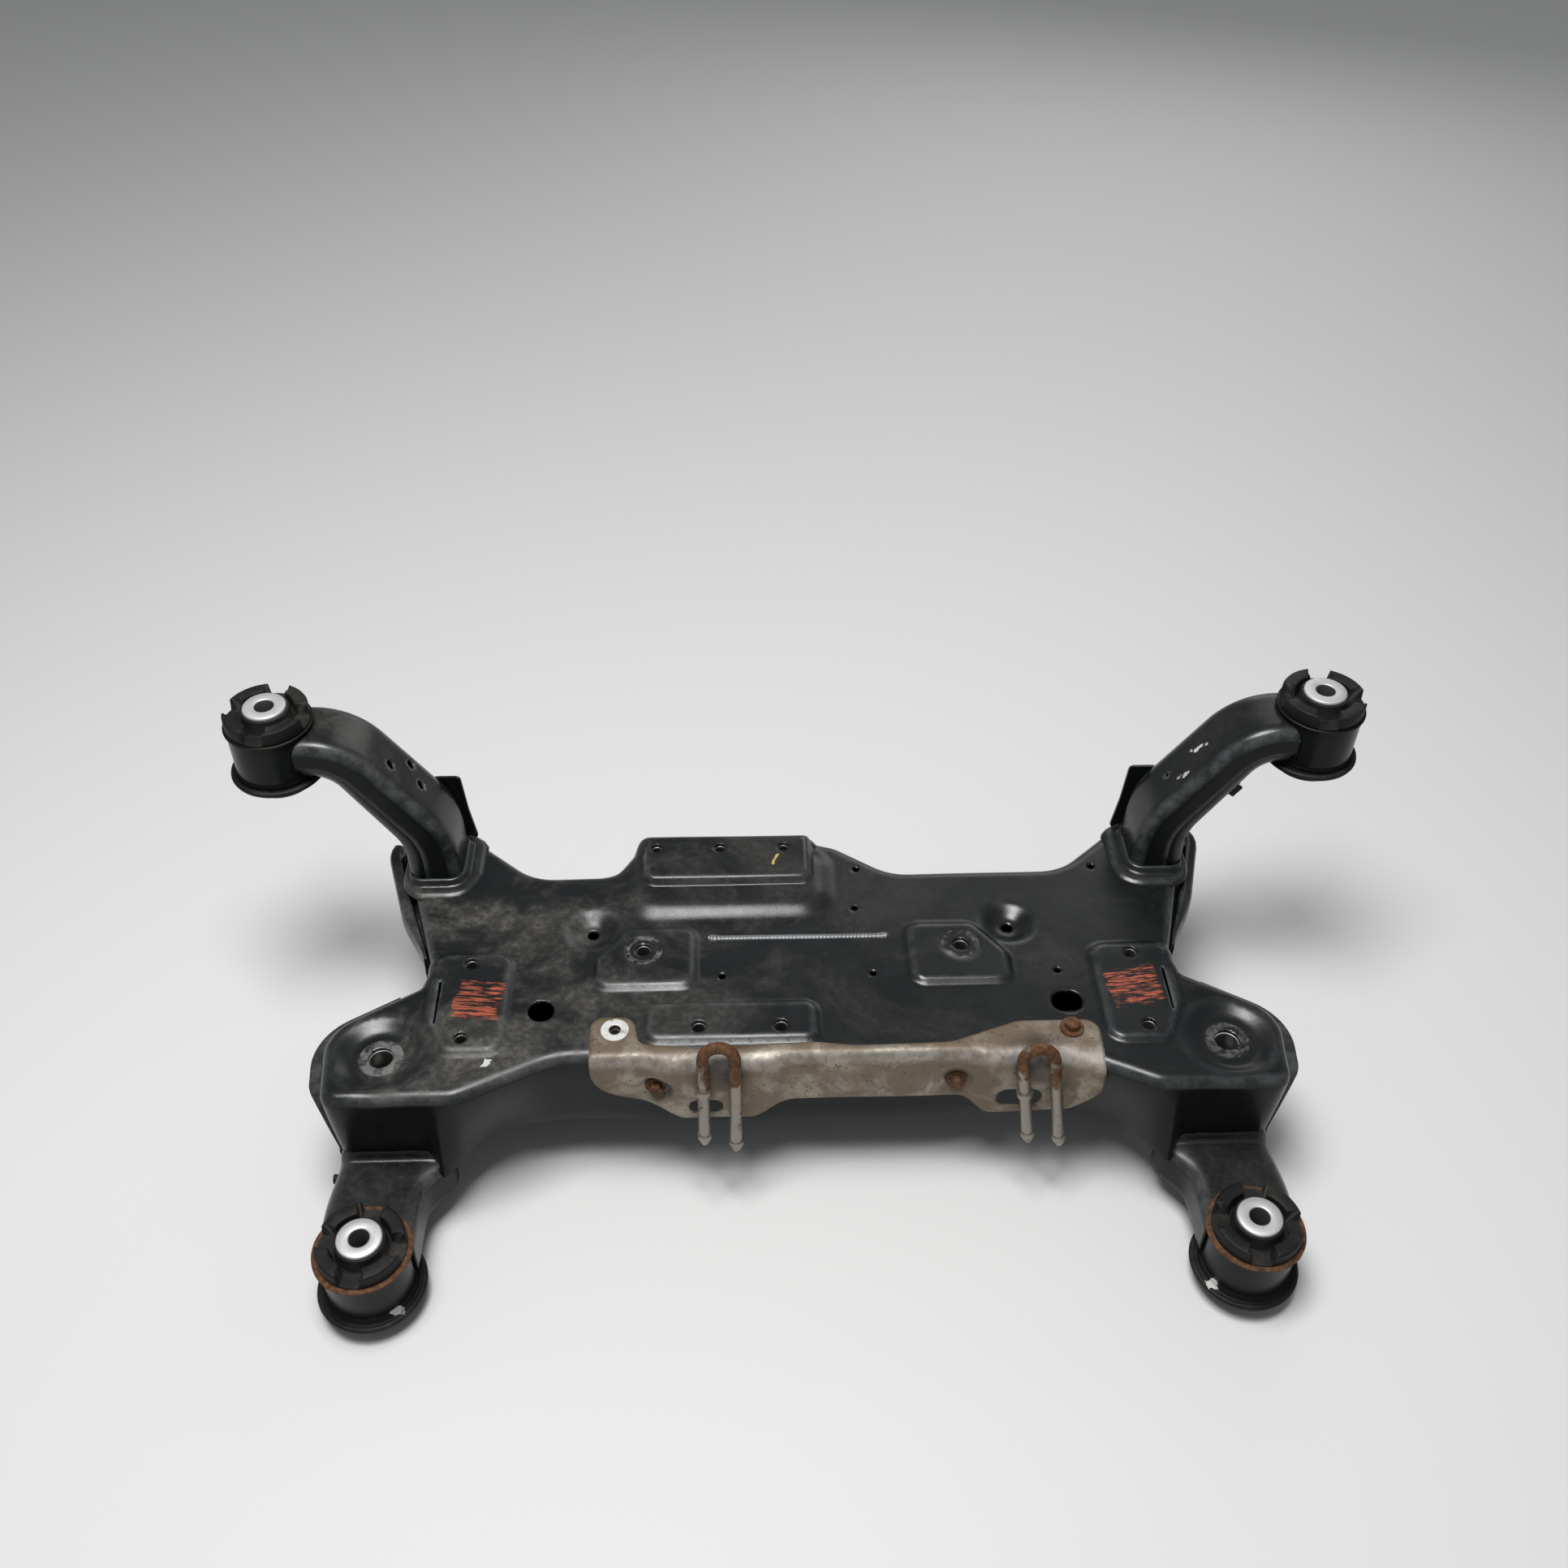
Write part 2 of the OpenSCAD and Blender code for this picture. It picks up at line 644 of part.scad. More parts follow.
module horn_sweep(upper) {
    ring_solid([for (i = [0:len(horn_line) - 1])
        let (
            p = horn_line[i],
            a = horn_leans[i],
            d = horn_depth(p[1]) / 2,
            section = upper ? channel(horn_w / 2, d, seam - lap / 2, sheet)
                            : channel(horn_w / 2 - nest, -d, seam + lap / 2, sheet)
        )
        [for (q = section) [p[0] - q[1] * cos(a), front_bush_y + q[0], p[1] + q[1] * sin(a)]]]);
}

// Length of a horn's middle line up to each of its points, and up to the middle of the slope
function horn_run(i) = i == 0 ? 0 : horn_run(i - 1) + norm(horn_line[i] - horn_line[i - 1]);
slope_start = horn_steps + 1;
slope_run = horn_run(slope_start) + norm((horn_b + horn_c) / 2 - horn_line[slope_start]);
function on_horn(run, values) = lookup(run, [for (i = [0:len(values) - 1]) [horn_run(i), values[i]]]);

// Places on a horn: along is measured up its middle line from the middle of the slope
function spot_lean(along) = on_horn(slope_run + along, horn_leans);
function horn_spot(along, height) =
    let (
        x = on_horn(slope_run + along, [for (p = horn_line) p[0]]),
        z = on_horn(slope_run + along, [for (p = horn_line) p[1]]),
        a = spot_lean(along)
    )
    [x - height * cos(a), z + height * sin(a)];
horn_nut_spots = [[18, -5.5], [-3, 14], [-18.5, 1]];   // along the slope, across the horn
horn_hole_r = 4.5;
nut_gap = 0.6;

module at_horn_spot(along, across, height) {
    p = horn_spot(along, height);
    translate([p[0], front_bush_y + across, p[1]]) rotate([0, spot_lean(along) - 90, 0]) children();
}

module horn_half_cut(upper) {
    difference() {
        horn_sweep(upper);
        drill(front_bush_x, front_bush_y, tube_r + weld_gap, 0, front_top_z);
        if (!upper)
            block(front_bush_x - front_disc_r - 1, front_bush_x, 0, 2 * front_bush_y, 0,
                  front_top_z - disc_top + 0.6);
    }
}

module horn_upper(s) {
    scale_x(s) color(paint_dusty) difference() {
        horn_half_cut(true);
        if (s < 0)
            for (p = horn_nut_spots) at_horn_spot(p[0], p[1], 0) cylinder(r = horn_hole_r, h = horn_root_d);
    }
}

module horn_lower(s) scale_x(s) color(paint_black) horn_half_cut(false);

module horn_gusset(s) {
    back_y = front_bush_y + horn_w / 2 + collar_gap + collar_t + weld_gap;
    shape = [[296, horn_foot_z, 3], [350, horn_foot_z, 3], [350, gusset_top_z - 20, 14],
             [328, gusset_top_z, 12], [304, gusset_top_z, 5], [301, gusset_top_z - 40, 60]];
    scale_x(s) color(paint_black) translate([0, back_y + sheet, 0]) rotate([90, 0, 0])
        linear_extrude(sheet) polygon(rounded(shape));
}

module bush_tube(x, y, top) {
    translate([x, y, top - flange_z - tube_h]) color(paint_black) difference() {
        cylinder(r = tube_r, h = tube_h);
        translate([0, 0, -cut]) cylinder(r = tube_r - tube_wall, h = tube_h + 2 * cut);
    }
}

module bush_can(x, y, top, flange_r) {
    r_in = can_r - can_wall;
    translate([x, y, top - flange_z]) color(rusty_steel) rotate_extrude() polygon([
        [r_in, 4 - tube_h], [can_r, 4 - tube_h], [can_r, 0], [flange_r, 0], [flange_r, flange_t],
        [r_in, flange_t]
    ]);
}

// Rubber of a bush: bonded to its sleeve, with four raised blocks above the can and a disc below
module bush_rubber(x, y, top, disc_r) {
    collar_z = top - flange_z + flange_t + fit_gap;
    gap_z = collar_z + 1.5;
    block_top = gap_z + block_h;
    disc_z = top - disc_top - disc_t;
    tube_end = top - flange_z - tube_h;
    color(rubber_black) translate([x, y, 0]) rotate(45 - block_turn) difference() {
        rotate_extrude() polygon([
            [bond_r, disc_z - 11], [27, disc_z - 11], [29, disc_z - 9], [29, disc_z],
            [disc_r - 2, disc_z], [disc_r, disc_z + 2], [disc_r, disc_z + 4.5],
            [disc_r - disc_groove + 1.5, disc_z + 5.5], [disc_r - disc_groove, disc_z + 4.5],
            [disc_r - disc_groove - 1.5, disc_z + disc_t - 2], [rubber_r + 1, disc_z + disc_t],
            [rubber_r, tube_end + 4], [rubber_r, collar_z], [tube_r - 0.5, collar_z],
            [tube_r, gap_z], [tube_r - 0.5, block_top], [22.5, block_top], [22, collar_z + 1],
            [bond_r, collar_z + 1]
        ]);
        for (a = [45, 135])
            rotate(a) translate([-block_gap / 2, -60, gap_z]) cube([block_gap, 120, block_h + cut]);
    }
}

module bush_sleeve(x, y, top) {
    edge = 1;
    color(bare_alloy) translate([x, y, top - sleeve_len]) rotate_extrude() polygon([
        [sleeve_bore_r, 0], [sleeve_r - edge, 0], [sleeve_r, edge], [sleeve_r, sleeve_len - edge],
        [sleeve_r - edge, sleeve_len], [sleeve_bore_r, sleeve_len]
    ]);
}

// Bent section of the exhaust bracket as [y, z]: flat on the deck, round a bend and down
bracket_bend = 16;
bracket_mid_y = face_y - bracket_t / 2;
bracket_mid_z = deck_z + weld_gap + bracket_t / 2;
function bracket_skin(side) =
    let (o = side * bracket_t / 2, y = bracket_mid_y - o, z = bracket_mid_z + o)
    concat([[0, z]], corner_arc([0, z], [y, z], [y, 0], bracket_bend + o, 6), [[y, 0]]);
bracket_section = concat(bracket_skin(1), [for (i = [len(bracket_skin(-1)) - 1:-1:0]) bracket_skin(-1)[i]]);

// Plan of the bracket's flange, and its upright outline as [x, z]
bracket_plan = [
    [bracket_x0, face_y - 20, 1], [bracket_x1, face_y - 20, 1], [bracket_x1, deck_bolt[1] + 9, 12],
    [deck_bolt[0] - 44, deck_bolt[1] + 9, 14], [118, flange_edge_y - 3, 40], [42, flange_edge_y - 5, 60],
    [6, flange_edge_y, 60], [-95, flange_edge_y - 4, 60], [tab_hole[0] + 20, flange_edge_y + 2, 8],
    [tab_hole[0] + 15, tab_hole[1] + 13, 12], [bracket_x0, tab_hole[1] + 13, 10]
];
bracket_upright = [
    [bracket_x0, deck_z + 20, 1], [bracket_x0, 112, 30], [-120, bracket_bottom_z - 2, 20],
    [-104, 82, 10], [-44, 82, 12], [-26, bracket_bottom_z, 20], [132, bracket_bottom_z, 16], [150, 80, 12],
    [200, 80, 14], [212, deck_z + weld_gap / 2, 1], [bracket_x1, deck_z + weld_gap / 2, 1],
    [bracket_x1, deck_z + 20, 1]
];

module exhaust_bracket() color(galvanised) difference() {
    union() {
        intersection() {
            translate([bracket_x0, 0, 0]) rotate([90, 0, 90])
                linear_extrude(bracket_x1 - bracket_x0) polygon(bracket_section);
            translate([0, 0, 60]) linear_extrude(120) polygon(rounded(bracket_plan));
            translate([0, 0, 0]) rotate([90, 0, 0]) linear_extrude(120) polygon(rounded(bracket_upright));
        }
        for (x = wall_bolt_x)
            translate([x, -near_wall_y - weld_gap, wall_bolt_z]) rotate([90, 0, 0])
                cylinder(r = cup_r, h = bracket_gap + bracket_t - weld_gap);
    }
    for (x = wall_bolt_x) {
        translate([x, -near_wall_y - weld_gap - bracket_t, wall_bolt_z]) rotate([90, 0, 0])
            cylinder(r = cup_r - bracket_t, h = bracket_gap + bracket_t);
        translate([x, -near_wall_y + cut, wall_bolt_z]) rotate([90, 0, 0])
            cylinder(r = bracket_hole_r, h = bracket_t + 2 * cut);
    }
    for (p = [tab_hole, deck_bolt])
        drill(p[0], p[1], bracket_hole_r, deck_z - cut, deck_z + 2 * bracket_t + cut);
    translate([0, face_y + cut, 0]) rotate([90, 0, 0])
        outline_plate(pad_corners(176, 101, 38, 22, 10), 0, 2 * bracket_t + 2 * cut);
}

// Hairpin rod: two legs under a half ring, one leg with a stop collar, both with pointed tips
module hanger_rod(i) {
    half = rod_pitch / 2;
    arc_y = face_y - bracket_t - rod_r - weld_gap + (rod_arc_z[i] - deck_z + bracket_bend) * tan(rod_lean);
    color(rod_steel) translate([rod_x[i], arc_y, rod_arc_z[i]])
    rotate([-rod_lean, 0, 0]) rotate([0, -rod_yaw[i], 0]) {
        rotate([90, 0, 0]) rotate_extrude(angle = 180) translate([half, 0]) circle(r = rod_r);
        for (e = [0, 1]) {
            translate([(2 * e - 1) * half, 0, -leg_len[i][e]]) {
                cylinder(r = rod_r, h = leg_len[i][e]);
                translate([0, 0, -9]) cylinder(r1 = 2.5, r2 = rod_r + 1, h = 7);
                translate([0, 0, -2]) cylinder(r = rod_r + 1, h = 4);
            }
        }
        translate([-half, 0, -34]) cylinder(r = rod_r + 2, h = 4);
    }
}

// Hex bolt with a round flange, head up, flange underside at z = 0
module flange_bolt(flange_r, shank) {
    cylinder(r = flange_r, h = 2);
    translate([0, 0, 1.5]) cylinder(r = flange_r * 0.66, h = 6, $fn = 6);
    translate([0, 0, -shank]) cylinder(r = bracket_hole_r - 0.3, h = shank + cut);
}

module bracket_bolts() color(rusty_steel) {
    translate([deck_bolt[0], deck_bolt[1], deck_z + weld_gap + bracket_t + 0.05]) flange_bolt(10, 16);
    for (x = wall_bolt_x)
        translate([x, -near_wall_y - weld_gap - bracket_t - 0.05, wall_bolt_z]) rotate([90, 0, 0])
            flange_bolt(9, 16);
}

// Weld nut with its face at z = 0, hanging down
module weld_nut(hole_r, nut_r, h) {
    difference() {
        translate([0, 0, -h]) cylinder(r = nut_r, h = h, $fn = 6);
        translate([0, 0, -h - cut]) cylinder(r = hole_r, h = h + 2 * cut);
    }
}

module bracket_weld_nuts() color(rusty_steel) {
    for (p = [tab_hole, deck_bolt])
        translate([p[0], p[1], under_deck_z - weld_gap]) weld_nut(bracket_hole_r, 8, 7);
    for (x = wall_bolt_x)
        translate([x, -near_wall_y + sheet + weld_gap, wall_bolt_z]) rotate([90, 0, 0])
            weld_nut(bracket_hole_r, 8, 7);
}

module rack_weld_nuts() color(rod_steel) {
    for (s = sides)
        translate([s * rack_x, rack_y, deck_z + pad_h - sheet - weld_gap]) weld_nut(rack_hole_r, 13, 14);
}

module clamp_weld_nuts() color(rod_steel) {
    for (s = sides) for (e = sides)
        translate([s * clamp_x, clamp_mid_y + e * clamp_pitch / 2, deck_z + pad_h - sheet - weld_gap])
            weld_nut(clamp_hole_r, 10, 10);
}

module tall_pad_weld_nuts() color(rod_steel) {
    for (i = [-1:1])
        translate([tall_pad_x + i * tall_pad_pitch, tall_pad_y, deck_z + tall_pad_h - sheet - weld_gap])
            weld_nut(tall_pad_hole_r, 9.5, 9);
}

module low_pad_weld_nuts() color(rod_steel) {
    for (e = sides)
        translate([low_pad_x + e * low_pad_pitch / 2, low_pad_y, deck_z + pad_h - sheet - weld_gap])
            weld_nut(low_pad_hole_r, 8.8, 10);
}

module horn_weld_nuts() color(rod_steel) {
    for (p = horn_nut_spots) {
        spot = horn_spot(p[0], 0);
        depth = horn_depth(spot[1]) / 2;
        mirror([1, 0, 0]) at_horn_spot(p[0], p[1], depth - sheet - nut_gap) weld_nut(horn_hole_r, 7.5, 7);
    }
}

// Plastic harness clip under the right horn
module harness_clip() {
    spot = horn_spot(6, 0);
    depth = horn_depth(spot[1]) / 2;
    color(rubber_black) at_horn_spot(6, -12, -depth - nut_gap) {
        translate([-8, -7, -3]) cube([16, 14, 3]);
        for (y = [-5, 2]) translate([-6, y, -12]) cube([12, 3, 10]);
    }
}

module arm_stud() {
    stud_x = arm_root_x + arm_w / 2 + weld_gap;
    color(rubber_black) translate([-stud_x, -near_wall_y - 42, 50]) rotate([0, -90, 0]) {
        cylinder(r = 6, h = 3);
        cylinder(r = 4, h = 9);
    }
}

upper_shell();
lower_shell();
control_arm_bracket(-1);  // control_arm_bracket_left
control_arm_bracket(1);  // control_arm_bracket_right
horn_upper(-1);  // horn_upper_left
horn_upper(1);  // horn_upper_right
horn_lower(-1);  // horn_lower_left
horn_lower(1);  // horn_lower_right
horn_gusset(-1);  // horn_gusset_left
horn_gusset(1);  // horn_gusset_right
bush_tube(-rear_bush_x, -rear_bush_y, rear_top_z);  // rear_tube_left
bush_tube(rear_bush_x, -rear_bush_y, rear_top_z);  // rear_tube_right
bush_tube(-front_bush_x, front_bush_y, front_top_z);  // front_tube_left
bush_tube(front_bush_x, front_bush_y, front_top_z);  // front_tube_right
bush_can(-rear_bush_x, -rear_bush_y, rear_top_z, rear_flange_r);  // rear_can_left
bush_can(rear_bush_x, -rear_bush_y, rear_top_z, rear_flange_r);  // rear_can_right
bush_can(-front_bush_x, front_bush_y, front_top_z, front_flange_r);  // front_can_left
bush_can(front_bush_x, front_bush_y, front_top_z, front_flange_r);  // front_can_right
bush_rubber(-rear_bush_x, -rear_bush_y, rear_top_z, rear_disc_r);  // rear_rubber_left
bush_rubber(rear_bush_x, -rear_bush_y, rear_top_z, rear_disc_r);  // rear_rubber_right
bush_rubber(-front_bush_x, front_bush_y, front_top_z, front_disc_r);  // front_rubber_left
bush_rubber(front_bush_x, front_bush_y, front_top_z, front_disc_r);  // front_rubber_right
bush_sleeve(-rear_bush_x, -rear_bush_y, rear_top_z);  // rear_sleeve_left
bush_sleeve(rear_bush_x, -rear_bush_y, rear_top_z);  // rear_sleeve_right
bush_sleeve(-front_bush_x, front_bush_y, front_top_z);  // front_sleeve_left
bush_sleeve(front_bush_x, front_bush_y, front_top_z);  // front_sleeve_right
exhaust_bracket();
hanger_rod(0);  // hanger_rod_left
hanger_rod(1);  // hanger_rod_right
bracket_bolts();
bracket_weld_nuts();
rack_weld_nuts();
clamp_weld_nuts();
tall_pad_weld_nuts();
low_pad_weld_nuts();
horn_weld_nuts();
harness_clip();
arm_stud();
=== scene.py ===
import bmesh
import bpy
import numpy as np
from mathutils import Matrix, Vector
from mathutils.geometry import delaunay_2d_cdt


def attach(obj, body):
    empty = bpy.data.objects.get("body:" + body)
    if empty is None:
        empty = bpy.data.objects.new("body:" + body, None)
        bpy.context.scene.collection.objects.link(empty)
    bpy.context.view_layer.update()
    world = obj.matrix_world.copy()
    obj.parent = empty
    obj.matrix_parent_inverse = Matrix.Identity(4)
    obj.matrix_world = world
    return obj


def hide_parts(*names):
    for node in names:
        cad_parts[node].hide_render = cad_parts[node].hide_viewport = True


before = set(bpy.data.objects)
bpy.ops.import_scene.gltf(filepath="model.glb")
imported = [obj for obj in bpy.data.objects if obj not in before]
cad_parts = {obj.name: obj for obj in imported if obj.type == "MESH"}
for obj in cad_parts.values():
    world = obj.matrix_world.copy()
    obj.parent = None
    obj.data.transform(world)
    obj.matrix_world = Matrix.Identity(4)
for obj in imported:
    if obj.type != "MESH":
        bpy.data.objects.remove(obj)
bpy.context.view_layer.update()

# Deck: the upper half of the box, one deep-drawn sheet of 2.6 mm steel with raised pads, dimples and
# punched holes. Its edge turns down over a 10 mm bend into the walls. Dipped in black primer, now dusty,
# lightened along the creases by rubbed wear and a painted highlight, with a dry-brushed orange mark on each clamp
# pad.
SIDES = ((-1, "left"), (1, "right"))
DECK_Z, WALL_Z = 149.0, 60.0  # heights of the flat deck and of the walls' foot, mm
SHEET, BEND = 2.6, 10.0  # thickness of the sheet and radius of its turned edge
EDGE_STEP, DECK_STEP = 3.4, 2.8  # spacing of points along the deck's edge and over its top


def unit(a):
    """Rows of an array, each divided by its length."""
    return a / np.maximum(np.linalg.norm(a, axis=-1, keepdims=True), 1e-12)


def ease(t):
    """Smooth step from 0 to 1: 3t^2 - 2t^3, held at both ends."""
    t = np.clip(t, 0, 1)
    return t * t * (3 - 2 * t)


def rounded_loop(corners, arc=9):
    """Closed outline from rows of x, y, radius: each corner becomes an arc about the point that lies one
    radius from both edges. Gives the points and their inward normals; the outline runs anticlockwise."""
    c = np.array(corners, float)
    p, r = c[:, :2], c[:, 2]
    back, on = unit(np.roll(p, 1, 0) - p), unit(np.roll(p, -1, 0) - p)
    half = np.arccos(np.clip((back * on).sum(1), -1, 1)) / 2
    centre = p + unit(back + on) * (r / np.sin(half))[:, None]
    side = np.sign(on[:, 0] * back[:, 1] - on[:, 1] * back[:, 0])
    first = unit(p + back * (r / np.tan(half))[:, None] - centre)
    turn = (side * (np.pi - 2 * half))[:, None] * np.linspace(0, 1, arc)
    ray = np.stack([first[:, :1] * np.cos(turn) - first[:, 1:] * np.sin(turn),
                    first[:, :1] * np.sin(turn) + first[:, 1:] * np.cos(turn)], -1)
    points = centre[:, None] + r[:, None, None] * ray
    return points.reshape(-1, 2), (-side[:, None, None] * ray).reshape(-1, 2)


def even_loop(points, normals, step):
    """The same closed loop with points a step apart along it, and the normals carried along."""
    row = np.concatenate([np.hstack([points, normals]), np.hstack([points, normals])[:1]])
    s = np.concatenate([[0], np.cumsum(np.linalg.norm(np.diff(row[:, :2], axis=0), axis=1) + 1e-9)])
    t = np.linspace(0, s[-1], int(s[-1] / step), endpoint=False)
    row = np.stack([np.interp(t, s, row[:, k]) for k in range(4)], 1)
    return row[:, :2], unit(row[:, 2:])


def mirrored(corners):
    """An outline's corners on the other side of x = 0, in the order that keeps it anticlockwise."""
    return [[-x, y, r] for x, y, r in corners[::-1]]


def gap_to(points, loop):
    """Signed distance of points from a closed loop, negative inside: the nearest edge's distance, with the
    sign from counting the edges that a ray to the right crosses."""
    def part(q):
        a, b = loop, np.roll(loop, -1, 0)
        e, d = b - a, q[:, None] - a
        t = np.clip((d * e).sum(-1) / np.maximum((e * e).sum(-1), 1e-12), 0, 1)
        near = np.linalg.norm(d - t[..., None] * e, axis=-1).min(1)
        y = q[:, 1:2]
        span = np.where(e[:, 1] == 0, 1, e[:, 1])
        hit = ((a[:, 1] > y) != (b[:, 1] > y)) & (q[:, :1] < a[:, 0] + (y - a[:, 1]) * e[:, 0] / span)
        return np.where(hit.sum(1) % 2 == 1, -near, near)
    return np.concatenate([part(q) for q in np.array_split(points, len(points) // 6000 + 1)])


def circle(x, y, r, n=40):
    """Points of a round hole."""
    a = np.linspace(0, 2 * np.pi, n, endpoint=False)
    return np.stack([x + r * np.cos(a), y + r * np.sin(a)], 1)


def cut_sheet(outline, holes, step):
    """Flat triangles inside an outline and outside its holes: edge points as given, and a square grid of
    points a step apart between them, joined by constrained triangulation. The outline's points come first."""
    loops = [outline] + holes
    start = np.cumsum([0] + [len(q) for q in loops])
    low, high = outline.min(0), outline.max(0)
    grid = np.stack(np.meshgrid(np.arange(low[0] + step / 2, high[0], step),
                                np.arange(low[1] + step / 2, high[1], step)), -1).reshape(-1, 2)
    grid = grid[gap_to(grid, outline) < -0.55 * step]
    for hole in holes:
        grid = grid[gap_to(grid, hole) > 0.55 * step]
    points = np.concatenate(loops + [grid])
    edges = np.concatenate([np.stack([np.arange(len(q)), np.roll(np.arange(len(q)), -1)], 1) + s
                            for q, s in zip(loops, start)])
    done = delaunay_2d_cdt([Vector(q) for q in points], edges.tolist(), [], 1, 1e-7)
    flat, faces = np.array([q[:] for q in done[0]]), np.array(done[2])
    middle = flat[faces].mean(1)
    for hole in holes:
        keep = gap_to(middle, hole) > 0
        faces, middle = faces[keep], middle[keep]
    return flat, faces


def new_piece(name, verts, faces, material, thickness=0.0, wear_and_painted_light=None, node=None):
    """A piece in millimetres made a mesh in metres, smooth shaded, with an optional value on each point for
    wear and painted light, a sheet thickness grown inwards, and its place in the frame."""
    mesh = bpy.data.meshes.new(name)
    mesh.from_pydata(np.asarray(verts, float) * 0.001, [], [list(f) for f in faces])
    mesh.shade_smooth()
    if wear_and_painted_light is not None:
        mesh.attributes.new("wear_and_painted_light", "FLOAT", "POINT").data.foreach_set("value", np.asarray(wear_and_painted_light, np.float32))
    mesh.materials.append(material)
    piece = bpy.data.objects.new(name, mesh)
    bpy.context.scene.collection.objects.link(piece)
    if thickness:
        wall = piece.modifiers.new("sheet", "SOLIDIFY")
        wall.thickness, wall.offset = thickness * 0.001, -1
        piece.modifiers.new("flats", "WEIGHTED_NORMAL").keep_sharp = True
    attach(piece, "root")
    if node:
        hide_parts(node)
    return piece


def grid_faces(rows, cols, closed=False, first=0):
    """Quads of a grid of points stored row by row; closed joins the last column to the first."""
    i, j = np.meshgrid(np.arange(rows - 1), np.arange(cols if closed else cols - 1), indexing="ij")
    k = (j + 1) % cols
    return np.stack([i * cols + j, (i + 1) * cols + j, (i + 1) * cols + k, i * cols + k],
                    -1).reshape(-1, 4) + first


# the shading helpers, and the groups for what dirt, wear and rust do to every finish, with the painted highlight
# that rides on the crease wear
def put(tree, node, sockets):
    """A node with its inputs set: sockets maps a name or number to a value or to another node's output."""
    for key, value in (sockets or {}).items():
        if isinstance(value, bpy.types.NodeSocket):
            tree.links.new(value, node.inputs[key])
        else:
            node.inputs[key].default_value = value
    return node


def add(tree, kind, sockets=None, **props):
    """One shader node of a kind, with its properties and inputs set."""
    node = tree.nodes.new("ShaderNode" + kind)
    for key, value in props.items():
        setattr(node, key, value)
    return put(tree, node, sockets)


def calc(tree, op, a, b=0.0, clamp=False):
    """One sum of two values."""
    return add(tree, "Math", {0: a, 1: b}, operation=op, use_clamp=clamp).outputs[0]


def times(tree, a, b, clamp=False):
    """The product of two values."""
    return calc(tree, "MULTIPLY", a, b, clamp)


def scaled(tree, value, gain, base, clamp=False):
    """The value times a gain, plus a base."""
    return calc(tree, "ADD", times(tree, value, gain), base, clamp)


def vector(tree, op, a, sockets=None):
    """One sum of vectors; sockets gives what the second input or the scale is."""
    return add(tree, "VectorMath", {0: a, **(sockets or {})}, operation=op).outputs


def between(tree, value, low, high):
    """0 below low, 1 above high, eased in between."""
    return add(tree, "MapRange", {"Value": value, "From Min": low, "From Max": high},
               interpolation_type="SMOOTHSTEP").outputs[0]


def above(tree, value, edge, soft):
    """0 below an edge and 1 above it, eased over a soft width on both sides."""
    return between(tree, value, calc(tree, "SUBTRACT", edge, soft), calc(tree, "ADD", edge, soft))


def blend(tree, mask, a, b):
    """Colour a where the mask is 0 and b where it is 1."""
    return add(tree, "Mix", {0: mask, 6: a, 7: b}, data_type="RGBA").outputs[2]


def noise(tree, where, scale, detail=4.0, rough=0.55, warp=0.0):
    """Cloudy value of a given scale per metre."""
    return add(tree, "TexNoise", {"Vector": where, "Scale": scale, "Detail": detail, "Roughness": rough,
                                  "Distortion": warp}).outputs[0]


def stretched(tree, where, scale, turn=(0, 0, 0)):
    """Coordinates scaled by axis and turned, for streaks and brush marks."""
    return add(tree, "Mapping", {"Vector": where, "Scale": scale, "Rotation": turn}).outputs[0]


def new_group(name, inputs, outputs):
    """An empty shader group with named sockets, and its object coordinates."""
    tree = bpy.data.node_groups.new(name, "ShaderNodeTree")
    for label, kind, value in inputs:
        tree.interface.new_socket(label, in_out="INPUT",
                                  socket_type="NodeSocket" + kind).default_value = value
    for label, kind in outputs:
        tree.interface.new_socket(label, in_out="OUTPUT", socket_type="NodeSocket" + kind)
    ends = tree.nodes.new("NodeGroupInput"), tree.nodes.new("NodeGroupOutput")
    where = tree.nodes.new("ShaderNodeTexCoord").outputs["Object"]
    return tree, ends[0].outputs, ends[1].inputs, where


def place(tree, group, sockets=None):
    """A group put into a material with its own values."""
    return add(tree, "Group", sockets, node_tree=group).outputs


def new_material(name, **sockets):
    """A material with one Principled shader, whose plain values are set on its own sockets."""
    material = bpy.data.materials.new(name)
    material.use_nodes = True
    tree = material.node_tree
    shader = tree.nodes["Principled BSDF"]
    for key, value in sockets.items():
        shader.inputs[key.replace("_", " ").title().replace("Ior", "IOR")].default_value = value
    return material, tree, shader.inputs, tree.nodes.new("ShaderNodeTexCoord").outputs["Object"]


def finish(tree, shader, rough, height, strength, depth):
    """Gives a shader its roughness, and a relief of a given strength and depth in metres."""
    tree.links.new(rough, shader["Roughness"])
    bump = add(tree, "Bump", {"Strength": strength, "Distance": depth, "Height": height})
    tree.links.new(bump.outputs[0], shader["Normal"])


# road dust lies on what faces up, in clouds, thicker to one side and in the hollows
road_dust, came, gone, where = new_group(
    "road_dust", [("Amount", "Float", 0.5), ("Left", "Float", 0.3), ("Scale", "Float", 9.0)],
    [("Mask", "Float"), ("Streaks", "Float")])
facing = add(road_dust, "SeparateXYZ", {0: add(road_dust, "NewGeometry").outputs["Normal"]})
up = between(road_dust, facing.outputs[2], 0.05, 0.95)
side = between(road_dust, add(road_dust, "SeparateXYZ", {0: where}).outputs[0], 0.08, -0.30)
cloud = between(road_dust, noise(road_dust, where, came["Scale"], 9, 0.66, 0.6), 0.43, 0.64)
speck = between(road_dust, noise(road_dust, where, 160, 3, 0.6), 0.40, 0.66)
full = scaled(road_dust, side, came["Left"], came["Amount"])
cloud = times(road_dust, cloud, scaled(road_dust, speck, 0.5, 0.5))
cloud = times(road_dust, cloud, up)
road_dust.links.new(times(road_dust, cloud, full, True), gone["Mask"])
